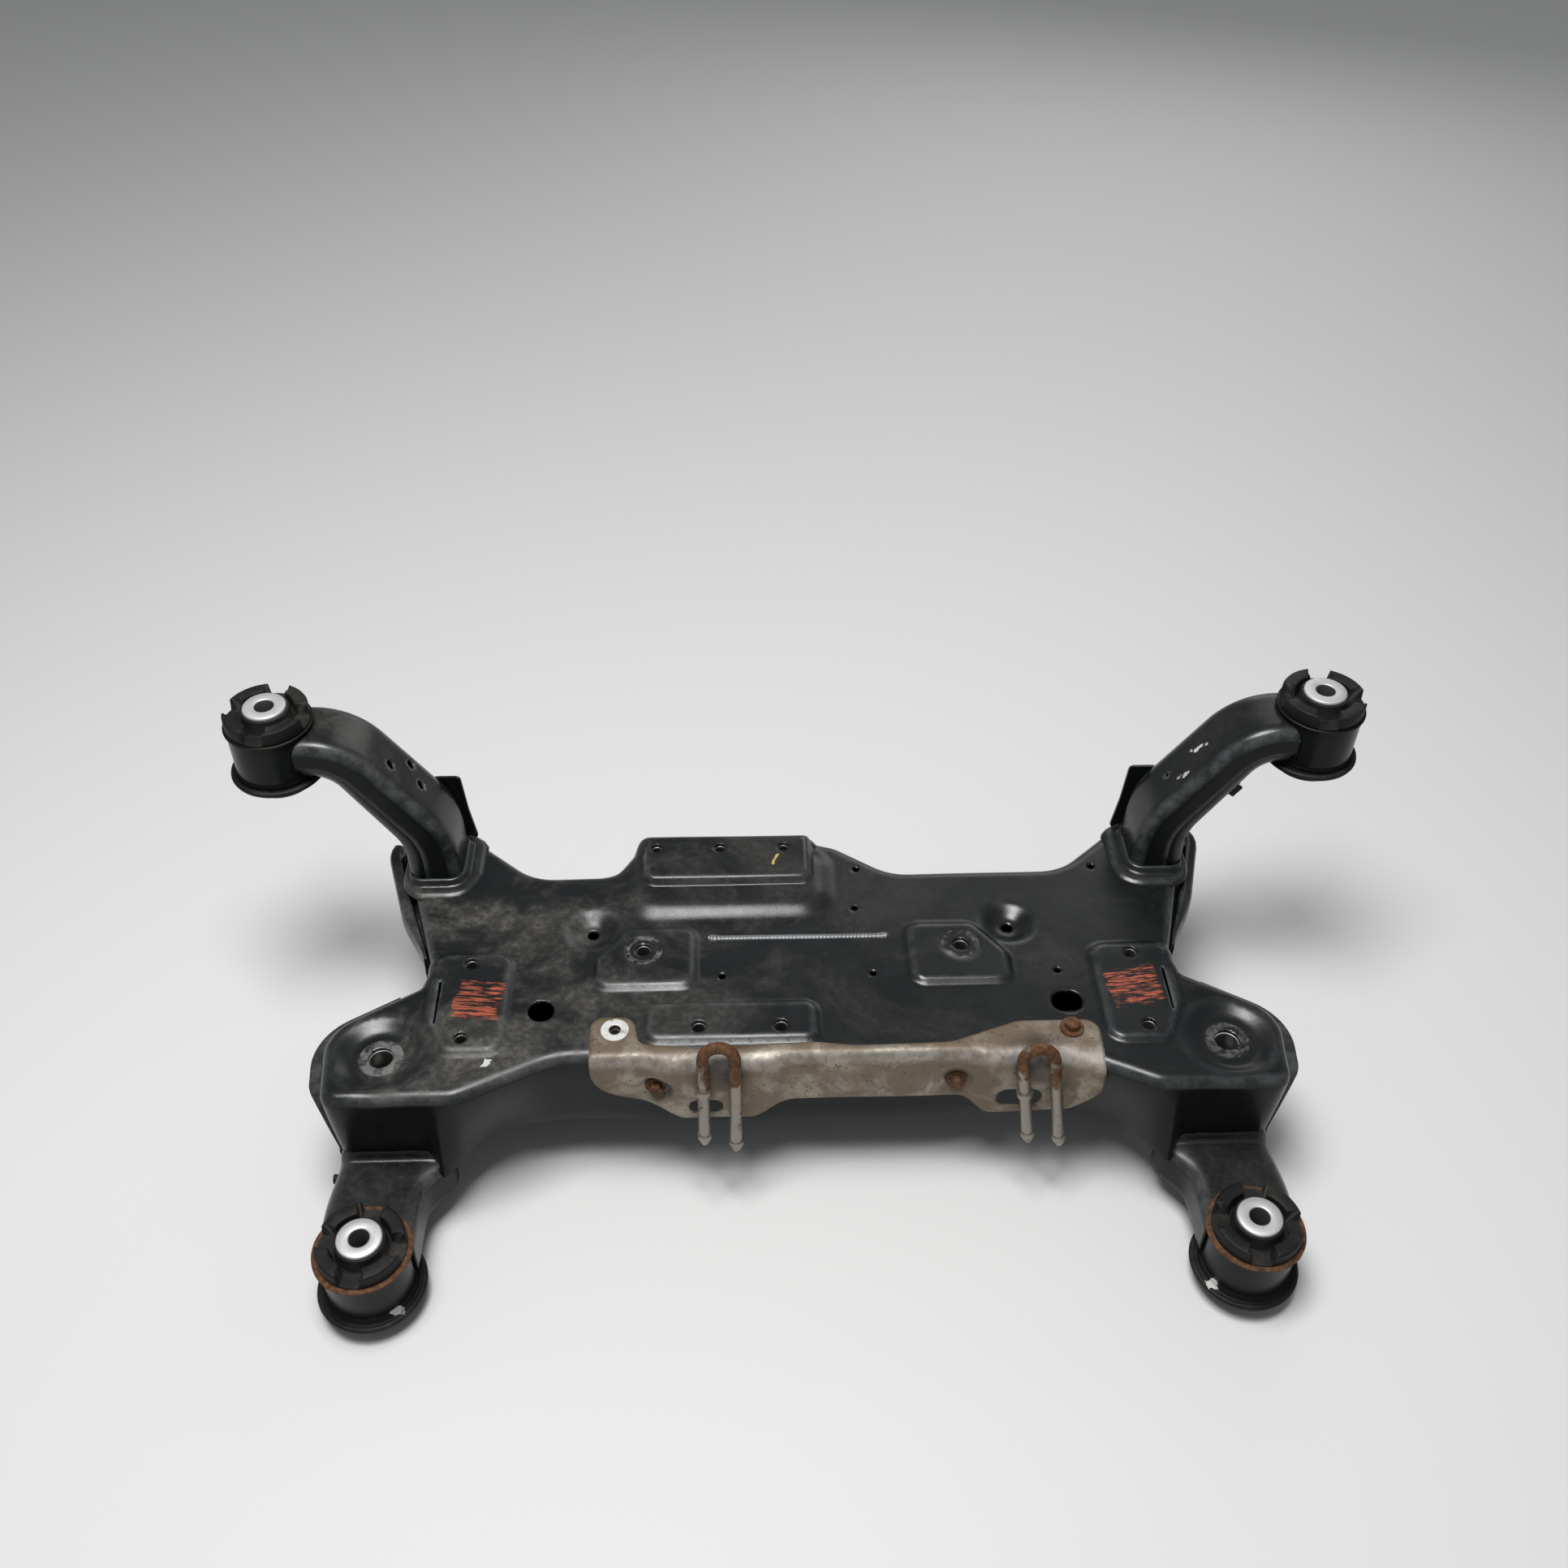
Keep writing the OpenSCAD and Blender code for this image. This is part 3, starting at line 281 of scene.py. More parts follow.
wipe = noise(road_dust, stretched(road_dust, where, (14, 90, 30), (0, 0, 0.35)), 1, 5, 0.6, 0.6)
road_dust.links.new(between(road_dust, wipe, 0.56, 0.74), gone["Streaks"])

# handling rubs the coat thin along the creases and scratches it in short strokes; the crease share also paints in
# the highlight that the bends catch
crease_wear_and_sheen, came, gone, where = new_group(
    "crease_wear_and_sheen", [("Crease", "Float", 0.0), ("Scratches", "Float", 0.3)], [("Mask", "Float")])
broken = between(crease_wear_and_sheen, noise(crease_wear_and_sheen, where, 55, 6, 0.7), 0.38, 0.62)
rubbed_and_sheen = times(crease_wear_and_sheen, came["Crease"], scaled(crease_wear_and_sheen, broken, 0.75, 0.25))
strokes = stretched(crease_wear_and_sheen, where, (16, 190, 60), (0, 0, 0.6))
lines = add(crease_wear_and_sheen, "TexVoronoi", {"Vector": strokes, "Scale": 1.0}, feature="DISTANCE_TO_EDGE").outputs[0]
thin = between(crease_wear_and_sheen, lines, 0.020, 0.004)
patchy = between(crease_wear_and_sheen, noise(crease_wear_and_sheen, where, 12, 3), 0.56, 0.70)
scratch = times(crease_wear_and_sheen, times(crease_wear_and_sheen, thin, patchy), came["Scratches"])
crease_wear_and_sheen.links.new(calc(crease_wear_and_sheen, "ADD", rubbed_and_sheen, scratch, True), gone["Mask"])

# dipped coats and rolled sheet are never quite smooth: fine peel over shallow dents
sheet_grain, came, gone, where = new_group(
    "sheet_grain", [("Fine", "Float", 900.0), ("Dents", "Float", 30.0)],
    [("Height", "Float"), ("Cloud", "Float")])
peel = noise(sheet_grain, where, came["Fine"], 3, 0.6)
dent = noise(sheet_grain, where, came["Dents"], 3, 0.5)
sheet_grain.links.new(scaled(sheet_grain, peel, 0.35, dent), gone["Height"])
sheet_grain.links.new(noise(sheet_grain, where, 22, 5, 0.6, 0.3), gone["Cloud"])

# rust blooms in patches, orange where thin and dark brown where old
rust_bloom, came, gone, where = new_group(
    "rust_bloom", [("Amount", "Float", 0.5), ("Scale", "Float", 60.0)],
    [("Mask", "Float"), ("Colour", "Color"), ("Height", "Float")])
bloom = noise(rust_bloom, where, came["Scale"], 8, 0.68, 0.5)
edge = calc(rust_bloom, "SUBTRACT", 0.86, came["Amount"])
rust_bloom.links.new(between(rust_bloom, bloom, edge, calc(rust_bloom, "ADD", edge, 0.16)), gone["Mask"])
shade = between(rust_bloom, noise(rust_bloom, where, 240, 5, 0.7), 0.30, 0.72)
old_rust, thin_rust = (0.045, 0.018, 0.008, 1), (0.20, 0.085, 0.030, 1)
rust_bloom.links.new(blend(rust_bloom, shade, old_rust, thin_rust), gone["Colour"])
rust_bloom.links.new(noise(rust_bloom, where, 420, 6, 0.7), gone["Height"])

# a dab or patch of marking paint: a soft-edged box in the piece's own coordinates, broken by brush hairs
paint_dab, came, gone, where = new_group(
    "paint_dab", [("Centre", "Vector", (0, 0, 0)), ("Half", "Vector", (0.02, 0.02, 0.02)),
                  ("Hairs", "Vector", (20, 260, 20)), ("Cover", "Float", 0.5), ("Turn", "Float", 0.0)],
    [("Mask", "Float")])
where = add(paint_dab, "VectorRotate", {"Vector": where, "Center": came["Centre"], "Angle": came["Turn"]},
            rotation_type="Z_AXIS").outputs[0]
off = vector(paint_dab, "SUBTRACT", where, {1: came["Centre"]})[0]
shake = add(paint_dab, "TexNoise", {"Vector": where, "Scale": 90.0}).outputs[1]
shake = vector(paint_dab, "SUBTRACT", shake, {1: (0.5, 0.5, 0.5)})[0]
shake = vector(paint_dab, "SCALE", shake, {"Scale": 0.012})[0]
away = vector(paint_dab, "ABSOLUTE", vector(paint_dab, "ADD", off, {1: shake})[0])[0]
share = add(paint_dab, "SeparateXYZ", {0: vector(paint_dab, "DIVIDE", away, {1: came["Half"]})[0]}).outputs
most = calc(paint_dab, "MAXIMUM", calc(paint_dab, "MAXIMUM", share[0], share[1]), share[2])
inside = between(paint_dab, most, 1.0, 0.86)
hair = noise(paint_dab, vector(paint_dab, "MULTIPLY", where, {1: came["Hairs"]})[0], 1.0, 5, 0.65, 0.2)
hair = above(paint_dab, hair, calc(paint_dab, "SUBTRACT", 1.0, came["Cover"]), 0.07)
paint_dab.links.new(times(paint_dab, inside, hair), gone["Mask"])

# a washer that was tightened on the coat leaves a ring, polished in patches
ring_mark, came, gone, where = new_group(
    "ring_mark", [("Centre", "Vector", (0, 0, 0)), ("Inner", "Float", 0.01), ("Outer", "Float", 0.018),
                  ("Cover", "Float", 0.5)], [("Mask", "Float")])
off = vector(ring_mark, "DISTANCE", where, {1: came["Centre"]})["Value"]
soft = 0.0006
band = times(ring_mark, between(ring_mark, off, came["Inner"], calc(ring_mark, "ADD", came["Inner"], soft)),
             between(ring_mark, off, came["Outer"], calc(ring_mark, "SUBTRACT", came["Outer"], soft)))
patch = noise(ring_mark, where, 120, 5, 0.7, 0.4)
patch = above(ring_mark, patch, calc(ring_mark, "SUBTRACT", 1.0, came["Cover"]), 0.12)
ring_mark.links.new(times(ring_mark, band, patch), gone["Mask"])


def black_coat(name, dust=0.45, left=0.35, dabs=(), rings=()):
    """Satin black dip coat under dust, dull on its walls and lightened to grey along the creases by rubbed wear
    and a painted highlight; dabs are paint as (centre, half size, brush hairs, cover, turn, colour), rings are
    washer marks as (centre, inner radius, outer radius, cover, strength)."""
    material, tree, shader, where = new_material(name, ior=1.5)
    grain = place(tree, sheet_grain)
    colour = blend(tree, grain["Cloud"], (0.0050, 0.0058, 0.0064, 1), (0.0125, 0.0138, 0.0145, 1))
    crease = add(tree, "Attribute", attribute_name="wear_and_painted_light").outputs["Fac"]
    rubbed_and_sheen = place(tree, crease_wear_and_sheen, {"Crease": crease, "Scratches": 0.16})["Mask"]
    dusty = place(tree, road_dust, {"Amount": dust, "Left": left})
    colour = blend(tree, times(tree, dusty["Streaks"], 0.16), colour, (0.050, 0.053, 0.055, 1))
    colour = blend(tree, dusty["Mask"], colour, (0.135, 0.124, 0.106, 1))
    # lighter grey along the creases: rubbed coat and a painted highlight
    colour = blend(tree, times(tree, rubbed_and_sheen, 0.5), colour, (0.17, 0.18, 0.185, 1))
    for centre, inner, outer, cover, strength in rings:
        mark = place(tree, ring_mark, {"Centre": centre, "Inner": inner, "Outer": outer, "Cover": cover})
        colour = blend(tree, times(tree, mark["Mask"], strength), colour, (0.30, 0.30, 0.29, 1))
    for centre, half, hairs, cover, turn, paint in dabs:
        mark = place(tree, paint_dab, {"Centre": centre, "Half": half, "Hairs": hairs, "Cover": cover,
                                       "Turn": turn})
        colour = blend(tree, mark["Mask"], colour, paint)
    tree.links.new(colour, shader["Base Color"])
    facing = add(tree, "SeparateXYZ", {0: add(tree, "NewGeometry").outputs["Normal"]}).outputs[2]
    shine = scaled(tree, between(tree, facing, 0.05, 0.75), 0.38, 0.14)
    tree.links.new(shine, shader["Specular IOR Level"])
    dull = scaled(tree, dusty["Mask"], 0.45, scaled(tree, grain["Cloud"], 0.26, 0.12), True)
    finish(tree, shader, dull, grain["Height"], 0.22, 0.0012)
    return material


orange, white, yellow = (0.44, 0.105, 0.055, 1), (0.62, 0.62, 0.60, 1), (0.55, 0.42, 0.12, 1)
deck_coat = black_coat("deck_coat", 0.12, 0.54, [
    ((-0.2735, 0.0065, 0.153), (0.0205, 0.0215, 0.02), (60, 640, 30), 0.47, 0.12, orange),
    ((0.279, 0.0085, 0.153), (0.0235, 0.0215, 0.02), (80, 640, 30), 0.46, -0.1, orange),
    ((-0.2616, -0.0569, 0.149), (0.0024, 0.0045, 0.008), (60, 60, 30), 0.66, 0.4, white),
    ((-0.020, 0.1605, 0.161), (0.0016, 0.0065, 0.01), (60, 60, 30), 0.62, 0.3, yellow)],
    [((-0.3475, -0.045, 0.1438), 0.0098, 0.0185, 0.52, 0.5),
     ((0.3475, -0.045, 0.1438), 0.0098, 0.0185, 0.46, 0.4),
     ((-0.1375, 0.060, 0.1525), 0.0115, 0.017, 0.46, 0.5),
     ((0.1375, 0.060, 0.1525), 0.0115, 0.017, 0.44, 0.5)])
arm_coat = black_coat("arm_coat", 0.14, 0.16)
horn_coat = black_coat("horn_coat", 0.12, 0.22, [
    ((0.3513, 0.178, 0.2664), (0.0085, 0.0016, 0.03), (150, 40, 40), 0.56, 0.52, white),
    ((0.3388, 0.163, 0.2483), (0.004, 0.002, 0.02), (220, 160, 60), 0.46, 0.3, white)])
under_coat = black_coat("under_coat", 0.06, 0.05)

LOBE, DIMPLE, RACK, CLAMP = (347.5, -45.0), (183.0, 88.0), (137.5, 60.0), (283.5, 6.5)  # right-hand middles
TALL_PAD, LOW_PAD = (-70.8, 176.0), (-55.0, -27.0)
CLAMP_STEP, TALL_STEP, LOW_STEP = 40.25, 58.0, 34.0  # from a pad's middle to its holes
LOBE_R, RACK_R, CLAMP_R, TALL_R, LOW_R, DRAIN_R = 10.0, 6.5, 5.5, 5.0, 6.0, 5.0
half_edge = [[205, -54, 70], [283, -92, 30], [390, -92, 16], [399, -18, 40], [321, 31, 16], [322, 58, 25],
             [369, 214, 14], [305, 214, 14], [240, 156, 50]]
front_edge = [[85, 155, 50], [36, 190, 30], [14, 197, 14], [-143, 197, 12], [-163, 157, 30]]
edge, inward = even_loop(*rounded_loop(half_edge + front_edge + mirrored(half_edge)), EDGE_STEP)


def pad_box(x0, x1, y0, y1, r):
    """Corners of an upright box with one corner radius."""
    return [[x0, y0, r], [x1, y0, r], [x1, y1, r], [x0, y1, r]]


def deck_height(q):
    """Height of the pressed deck over the point x, y: the flat top, plus each pad eased up over its edge,
    less each dish and dimple eased down over its rim, plus a slow ripple of the drawn sheet."""
    def lift(corners, height, ramp):
        return height * ease(0.5 - gap_to(q, rounded_loop(corners)[0]) / ramp)

    def sink(middle, depth, rim, ramp):
        return depth * ease((rim - np.hypot(np.abs(x) - middle[0], y - middle[1])) / ramp)
    x, y = q.T
    clamp = [[249, -47.5, 14], [298, -47.5, 14], [315.5, -7.5, 14], [315.5, 58.5, 14], [249, 58.5, 14]]
    rack = [[92.5, 19, 12], [177.5, 19, 12], [177.5, 50, 12], [150.5, 86, 12], [92.5, 86, 12]]
    tall = np.maximum(lift(pad_box(-140.8, 12.2, 135, 230, 12), 12, 9),
                      lift(pad_box(-152, 24, 104, 182, 24), 6, 22))
    z = DECK_Z + lift(clamp, 4, 6) + lift(mirrored(clamp), 4, 6) + lift(rack, 4, 7) + lift(mirrored(rack), 4, 7)
    z = z + tall + lift(pad_box(-132, 9, -39.5, 0, 10), 4, 7)
    z = z - sink(LOBE, 6, 42, 19) + sink(LOBE, 0.8, 19.5, 2) - sink(DIMPLE, 8, 27, 20) - sink(RACK, 0.7, 18.5, 2.5)
    return z + 0.35 * np.sin(x / 61 + 0.7) * np.sin(y / 43) + 0.15 * np.sin(x / 23 - y / 31)


lobe_spots, rack_spots, dimple_spots = ([(s * x, y) for s in (-1, 1)] for x, y in (LOBE, RACK, DIMPLE))
clamp_spots = [(s * CLAMP[0], CLAMP[1] + e) for s in (-1, 1) for e in (-CLAMP_STEP, CLAMP_STEP)]
tall_spots = [(TALL_PAD[0] + e, TALL_PAD[1]) for e in (-TALL_STEP, 0, TALL_STEP)]
low_spots = [(LOW_PAD[0] + e, LOW_PAD[1]) for e in (-LOW_STEP, LOW_STEP)]
small_spots = ((53, 157), (48.5, 108), (269, 155), (218, 30.5), (59.5, 30.5), (-69.5, 30.5))
slits = [rounded_loop(pad_box(s * 307.5 - 1.2, s * 307.5 + 1.2, -18, 28, 1), 4)[0] for s in (-1, 1)]
holes = [circle(x, y, r, n) for spots, r, n in (
    (lobe_spots, LOBE_R, 56), (rack_spots, RACK_R, 40), (clamp_spots, CLAMP_R, 40), (dimple_spots, DRAIN_R, 32),
    (tall_spots, TALL_R, 32), (low_spots, LOW_R, 40)) for x, y in spots]
holes += [circle(-220.5, -4, 11, 48), rounded_loop(pad_box(207.5, 233.5, -15, 7, 10))[0]] + slits
holes += [circle(x, y, 3, 24) for x, y in small_spots]
holes += [circle(x, y, 4.8, 24) for x, y in ((-158, -27), (219, -35))]

flat, faces = cut_sheet(edge + BEND * inward, holes, DECK_STEP)
top = np.column_stack([flat, deck_height(flat)])
n = len(edge)
rim_z = top[:n, 2]

# the walls' foot rises over the lobes and the pockets; the near wall leans in beside the bracket, flares out
# towards the arms and leans in again at the lobes; a brim turns out round each lobe, and in along the near wall
LOBE_FOOT, POCKET_FOOT, FOLD = 132.0, 118.0, 3.0
LEAN, DRAFT, FLARE, LOBE_LEAN, BRIM = 14.0, 4.0, 24.0, 6.0, 11.0
a, y = np.abs(edge[:, 0]), edge[:, 1]
near = (y < -40) * ease((318 - a) / 10)
at_lobe = ease((a - 328) / 10) * ease((y + 84) / 12) * ease((52 - y) / 10)
at_pocket = ease((a - 316) / 6) * ease((y - 74) / 6) * ease((150 - y) / 6)
foot = WALL_Z + (LOBE_FOOT - WALL_Z) * at_lobe + (POCKET_FOOT - WALL_Z) * at_pocket
draft = -LEAN * np.exp(-((a - 250) / 30) ** 2) - DRAFT * ease((a - 90) / 90) * ease((290 - a) / 20)
sweep = (draft + FLARE * ease((a - 278) / 34)) * ease((312 - a) / 16) * (y < -30)
sweep = sweep - LOBE_LEAN * ease((a - 300) / 16) * ease((-60 - y) / 25)
brim = 0.7 + (BRIM - 0.7) * at_lobe - BRIM * near
turn = np.radians(np.arange(15, 91, 15))[:, None]
bend_in, bend_z = BEND * (1 - np.sin(turn)) + 0 * foot, rim_z - BEND * (1 - np.cos(turn))
down = np.linspace(0, 1, 7)[1:, None]
wall_in, wall_z = -sweep * down ** 1.3, (rim_z - BEND) + (foot + FOLD - rim_z + BEND) * down
fold_in, fold_down = np.array([[0.12, 0.35, 0.75, 1.0], [0.35, 0.75, 1.0, 1.0]])[..., None]
brim_in, brim_z = -sweep - fold_in * brim, foot + FOLD - FOLD * fold_down
row_in, row_z = np.vstack([bend_in, wall_in, brim_in]), np.vstack([bend_z, wall_z, brim_z])
skirt = np.dstack([edge[:, 0] + row_in * inward[:, 0], edge[:, 1] + row_in * inward[:, 1], row_z])
ring = grid_faces(len(row_in) + 1, n, True)
ring = np.where(ring < n, ring, ring - n + len(top))
verts = np.vstack([top, skirt.reshape(-1, 3)])
# value on each point: worn coat and a painted highlight along the convex creases, round the slits, mid-bend on the
# turned edge and along the brim
curl = sum(deck_height(flat + np.array(d)) for d in ((4, 0), (-4, 0), (0, 4), (0, -4))) - 4 * top[:, 2]
skirt_wear_and_sheen = np.vstack([0.6 * np.sin(2 * turn) ** 2 + 0 * foot, 0 * wall_in, 0.7 + 0 * brim_in]).ravel()
slit = np.minimum(*(gap_to(flat, loop) for loop in slits))
wear_and_painted_light = np.concatenate([np.maximum(0.45 * np.clip(-curl / 2.6, 0, 1), ease((2.4 - slit) / 2)), skirt_wear_and_sheen])
new_piece("deck", verts, faces.tolist() + ring.tolist(), deck_coat, SHEET, wear_and_painted_light, node="upper_shell")

# Deck trim: the low step pressed round each horn's foot, the strip turned out along the outer side of each
# horn root, and the run of weld across the middle of the deck.
HORN_X = 328.0
bead = [(21, 148.6), (19, 149.9), (17, 151.4), (15, 152), (10, 152.1), (8, 152.6), (6.4, 154.6), (5.2, 156.6),
        (4, 157.4), (2.6, 157.4), (1.4, 156), (0.6, 149.4)]
# the step's crests are lightened: rubbed coat and a painted highlight
bead_rub_and_sheen = [0, 0, 0.3, 0.4, 0.1, 0, 0, 0.1, 0.5, 0.6, 0.2, 0]
strip = [(0.1, 130), (1.4, 128), (2.6, 128.6), (3.4, 134), (4.2, 138), (5.6, 139.6), (9, 139.4), (12.6, 138.2),
         (14.4, 136.8), (15.2, 134), (15.4, 120)]
# the strip's crests are lightened: rubbed coat and a painted highlight
strip_rub_and_sheen = [0, 0, 0, 0.1, 0.5, 0.4, 0.1, 0.2, 0.6, 0.3, 0]


def carried(path, out, profile, closed=False):
    """A profile of (out, up) pairs carried along a plan path: each pair moves the path along its outward
    normal and lifts it."""
    o, up = np.array(profile, float).T
    x, y = path[:, 0] + o[:, None] * out[:, 0], path[:, 1] + o[:, None] * out[:, 1]
    points = np.dstack([x, y, up[:, None] + 0 * x])
    return points.reshape(-1, 3), grid_faces(len(o), len(path), closed)


for side, name in SIDES:
    horn_foot = pad_box(side * HORN_X - 22, side * HORN_X + 22, 149, 204, 9)
    path, inner = even_loop(*rounded_loop(horn_foot), 2.5)
    tight = np.maximum(1 + 0.62 * np.minimum(side * inner[:, 0], 0) + 0.6 * np.minimum(inner[:, 1], 0), 0.34)
    points, quads = carried(path, -inner * tight[:, None], bead, True)
    rub_and_sheen = np.repeat(bead_rub_and_sheen, len(path))
    new_piece("horn_bead_" + name, points, quads[:, ::-1].tolist(), deck_coat, 1.2, rub_and_sheen)
    beside = (side * edge[:, 0] > 318) & (edge[:, 1] > 66) & (edge[:, 1] < 208)
    order = np.argsort(edge[beside, 1])[::side]
    path = edge[beside][order]
    out = -inward[beside][order] * (0.3 + 0.7 * ease((path[:, 1] - 66) / 70))[:, None]
    points, quads = carried(path, out, strip)
    rub_and_sheen = np.repeat(strip_rub_and_sheen, len(path))
    new_piece("side_strip_" + name, points, quads.tolist(), deck_coat, 1.6, rub_and_sheen)

weld_steel, tree, shader, where = new_material("weld_steel", metallic=0.6)
grain = place(tree, sheet_grain, {"Fine": 700.0, "Dents": 120.0})
tree.links.new(blend(tree, grain["Cloud"], (0.10, 0.105, 0.11, 1), (0.36, 0.37, 0.38, 1)), shader["Base Color"])
finish(tree, shader, scaled(tree, grain["Cloud"], 0.3, 0.30), grain["Height"], 0.4, 0.001)
WELD_START, WELD_END, WELD_Y, WELD_HALF, WELD_CROWN = -82.0, 76.0, 74.5, 2.5, 1.5
along = np.linspace(WELD_START, WELD_END, 240)[:, None]
across = np.cos(np.linspace(np.pi, 0, 13))
swell = 1 + 0.7 * sum(np.exp(-((along - end) / 5) ** 2) for end in (WELD_START + 3, WELD_END - 3))
taper = np.sqrt(np.clip(1 - (np.abs(along + 3) / 79.2) ** 24, 0.02, 1))
width = WELD_HALF * swell * taper * (1 + 0.08 * np.sin(along * 1.9))
plan = np.dstack([along + 0 * across, WELD_Y - 0.006 * along + width * across]).reshape(-1, 2)
crown = WELD_CROWN * swell * np.sqrt(np.clip(1 - across ** 2, 0, 1)) * (1 + 0.12 * np.sin(along * 1.9 + across))
points = np.column_stack([plan, deck_height(plan) - 0.3 + crown.ravel()])
new_piece("deck_weld", points, grid_faces(len(along), len(across))[:, ::-1].tolist(), weld_steel, 0.4)

# Rear arms: stepped legs of the same pressing, a round-edged channel that leaves the deck's near wall over a
# tight fold and runs out to the housing tube of each rear bush, to which it is welded.
ARM_TOP, ARM_FOOT, ARM_HALF, ARM_BEND = 65.2, 30.0, 35.5, 8.0
ARM_X, ARM_START, ARM_FOLD_Y, ARM_FOLD = 348.5, -80.0, -86.0, 8.0
REAR_BUSH, TUBE_R, WELD_GAP = (354.0, -173.5), 35.5, 0.2


def arm_shell(side):
    """Channel section (wall, bend, top, bend, wall) carried along y from the deck's wall to the tube: each
    point of the section runs to where it meets the tube's circle, and the top rises in an arc at the wall."""
    corner = np.radians(np.linspace(0, 90, 8))
    across = np.concatenate([[-ARM_HALF] * 6, -ARM_HALF + ARM_BEND * (1 - np.cos(corner)),
                             np.linspace(-ARM_HALF + ARM_BEND, ARM_HALF - ARM_BEND, 22)[1:-1],
                             ARM_HALF - ARM_BEND * (1 - np.sin(corner)), [ARM_HALF] * 6])
    lift = np.concatenate([np.linspace(ARM_FOOT, ARM_TOP - ARM_BEND, 7)[:-1],
                           ARM_TOP - ARM_BEND * (1 - np.sin(corner)), [ARM_TOP] * 20,
                           ARM_TOP - ARM_BEND * (1 - np.cos(corner)),
                           np.linspace(ARM_TOP - ARM_BEND, ARM_FOOT, 7)[1:]])
    t = np.concatenate([np.linspace(0, 0.45, 26), np.linspace(0.45, 1, 20)[1:]])[:, None]
    end = REAR_BUSH[1] + np.sqrt(np.maximum((TUBE_R + WELD_GAP) ** 2 - across ** 2, 4.0))
    y = ARM_START + (end - ARM_START) * t
    x = ARM_X + (REAR_BUSH[0] - ARM_X) * ease((ARM_START - y) / 60) + across
    x = x - 16 * ease((y + 128) / 40) ** 1.6 * ease((-across - 24) / 11)
    gap = np.clip(ARM_FOLD_Y - y, 0, ARM_FOLD)
    rise = ARM_FOLD - np.sqrt(ARM_FOLD ** 2 - (ARM_FOLD - gap) ** 2)
    hollow = 1.2 * ease((-100 - y) / 40) * ease((20 - np.abs(across)) / 14)
    z = lift + rise * (lift - ARM_FOOT) / (ARM_TOP - ARM_FOOT) - hollow
    points = np.dstack([side * x, y + 0 * across, z]).reshape(-1, 3)
    quads = grid_faces(len(t), len(across))
    # lighter along the top's two bends: worn coat and a painted highlight
    rub_and_sheen = np.exp(-((np.abs(across) - 33) / 3.5) ** 2) * (lift > ARM_TOP - 7) + 0 * t
    return points, quads if side < 0 else quads[:, ::-1], rub_and_sheen.ravel()


for side, name in SIDES:
    points, quads, rub_and_sheen = arm_shell(side)
    new_piece("rear_arm_" + name, points, quads.tolist(), arm_coat, SHEET, 0.8 * rub_and_sheen)

# Lower shell: the pressing that closes the box from below, welded inside the deck's walls. Its near wall is
# drawn in with the deck's, so it is a copy of the solid with that wall moved back.
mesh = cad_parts["lower_shell"].data.copy()
work = bmesh.new()
work.from_mesh(mesh)
bmesh.ops.remove_doubles(work, verts=work.verts, dist=1e-6)
work.to_mesh(mesh)
work.free()
place_of = np.empty(3 * len(mesh.vertices), np.float32)
mesh.vertices.foreach_get("co", place_of)
place_of = place_of.reshape(-1, 3)
a = np.abs(place_of[:, 0]) * 1000
back = 4 + 16 * ease((a - 150) / 45) * ease((305 - a) / 15)
near_wall = (place_of[:, 1] < -0.040) * (a < 312) * (place_of[:, 2] < 0.090)
place_of[:, 1] += 0.001 * back * near_wall
mesh.vertices.foreach_set("co", place_of.ravel())
mesh.update()
mesh.materials.clear()
mesh.materials.append(under_coat)
piece = bpy.data.objects.new("lower_pressing", mesh)
bpy.context.scene.collection.objects.link(piece)
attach(piece, "root")
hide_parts("lower_shell")

# Control-arm seats, horn gussets and bush housings: the two plated seats welded into the box's sides, the
# upright plates behind the horns and the four drawn tubes, all in the same black coat.


def dress(names, material):
    """Gives one material to nodes that keep their own mesh."""
    for name in names:
        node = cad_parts[name]
        node.data.materials.clear()
        node.data.materials.append(material)


welded_in = ("control_arm_bracket_", "horn_gusset_", "rear_tube_", "front_tube_")
dress([label + name for label in welded_in for side, name in SIDES], under_coat)

# Horns: each a box of two half pressings lapped along a seam, rising from a collar on the deck, leaning
# out and turning level into the housing tube of its front bush.
FRONT_BUSH, HORN_FOOT, HORN_TOP = (449.0, 176.5), 149.2, 294.5
HORN_HALF, HORN_BEND, HORN_WALL, LAP, SEAM = 27.5, 9.0, 14.0, 2.8, -5.0


def horn_path():
    """Middle line in the x, z plane and its lean from upright: straights joined by arcs of 70 and 48 mm."""
    p = np.array([[HORN_X, HORN_FOOT], [HORN_X, 198], [392, HORN_TOP], [470, HORN_TOP]], float)
    line = [p[:1]]
    for k, r in ((1, 70.0), (2, 48.0)):
        back, on = unit(p[k - 1] - p[k]), unit(p[k + 1] - p[k])
        half = np.arccos(back @ on) / 2
        centre = p[k] + unit(back + on) * r / np.sin(half)
        first = p[k] + back * r / np.tan(half) - centre
        turn = -np.linspace(0, np.pi - 2 * half, 24)
        line.append(centre + np.stack([first[0] * np.cos(turn) - first[1] * np.sin(turn),
                                       first[0] * np.sin(turn) + first[1] * np.cos(turn)], 1))
    line = np.vstack(line + [p[3:]])
    s = np.concatenate([[0], np.cumsum(np.linalg.norm(np.diff(line, axis=0), axis=1))])
    fine = np.linspace(0, s[-1], 400)
    line = np.stack([np.interp(fine, s, line[:, k]) for k in (0, 1)], 1)
    step = np.gradient(line, axis=0)
    return fine, line, np.arctan2(step[:, 0], step[:, 1])


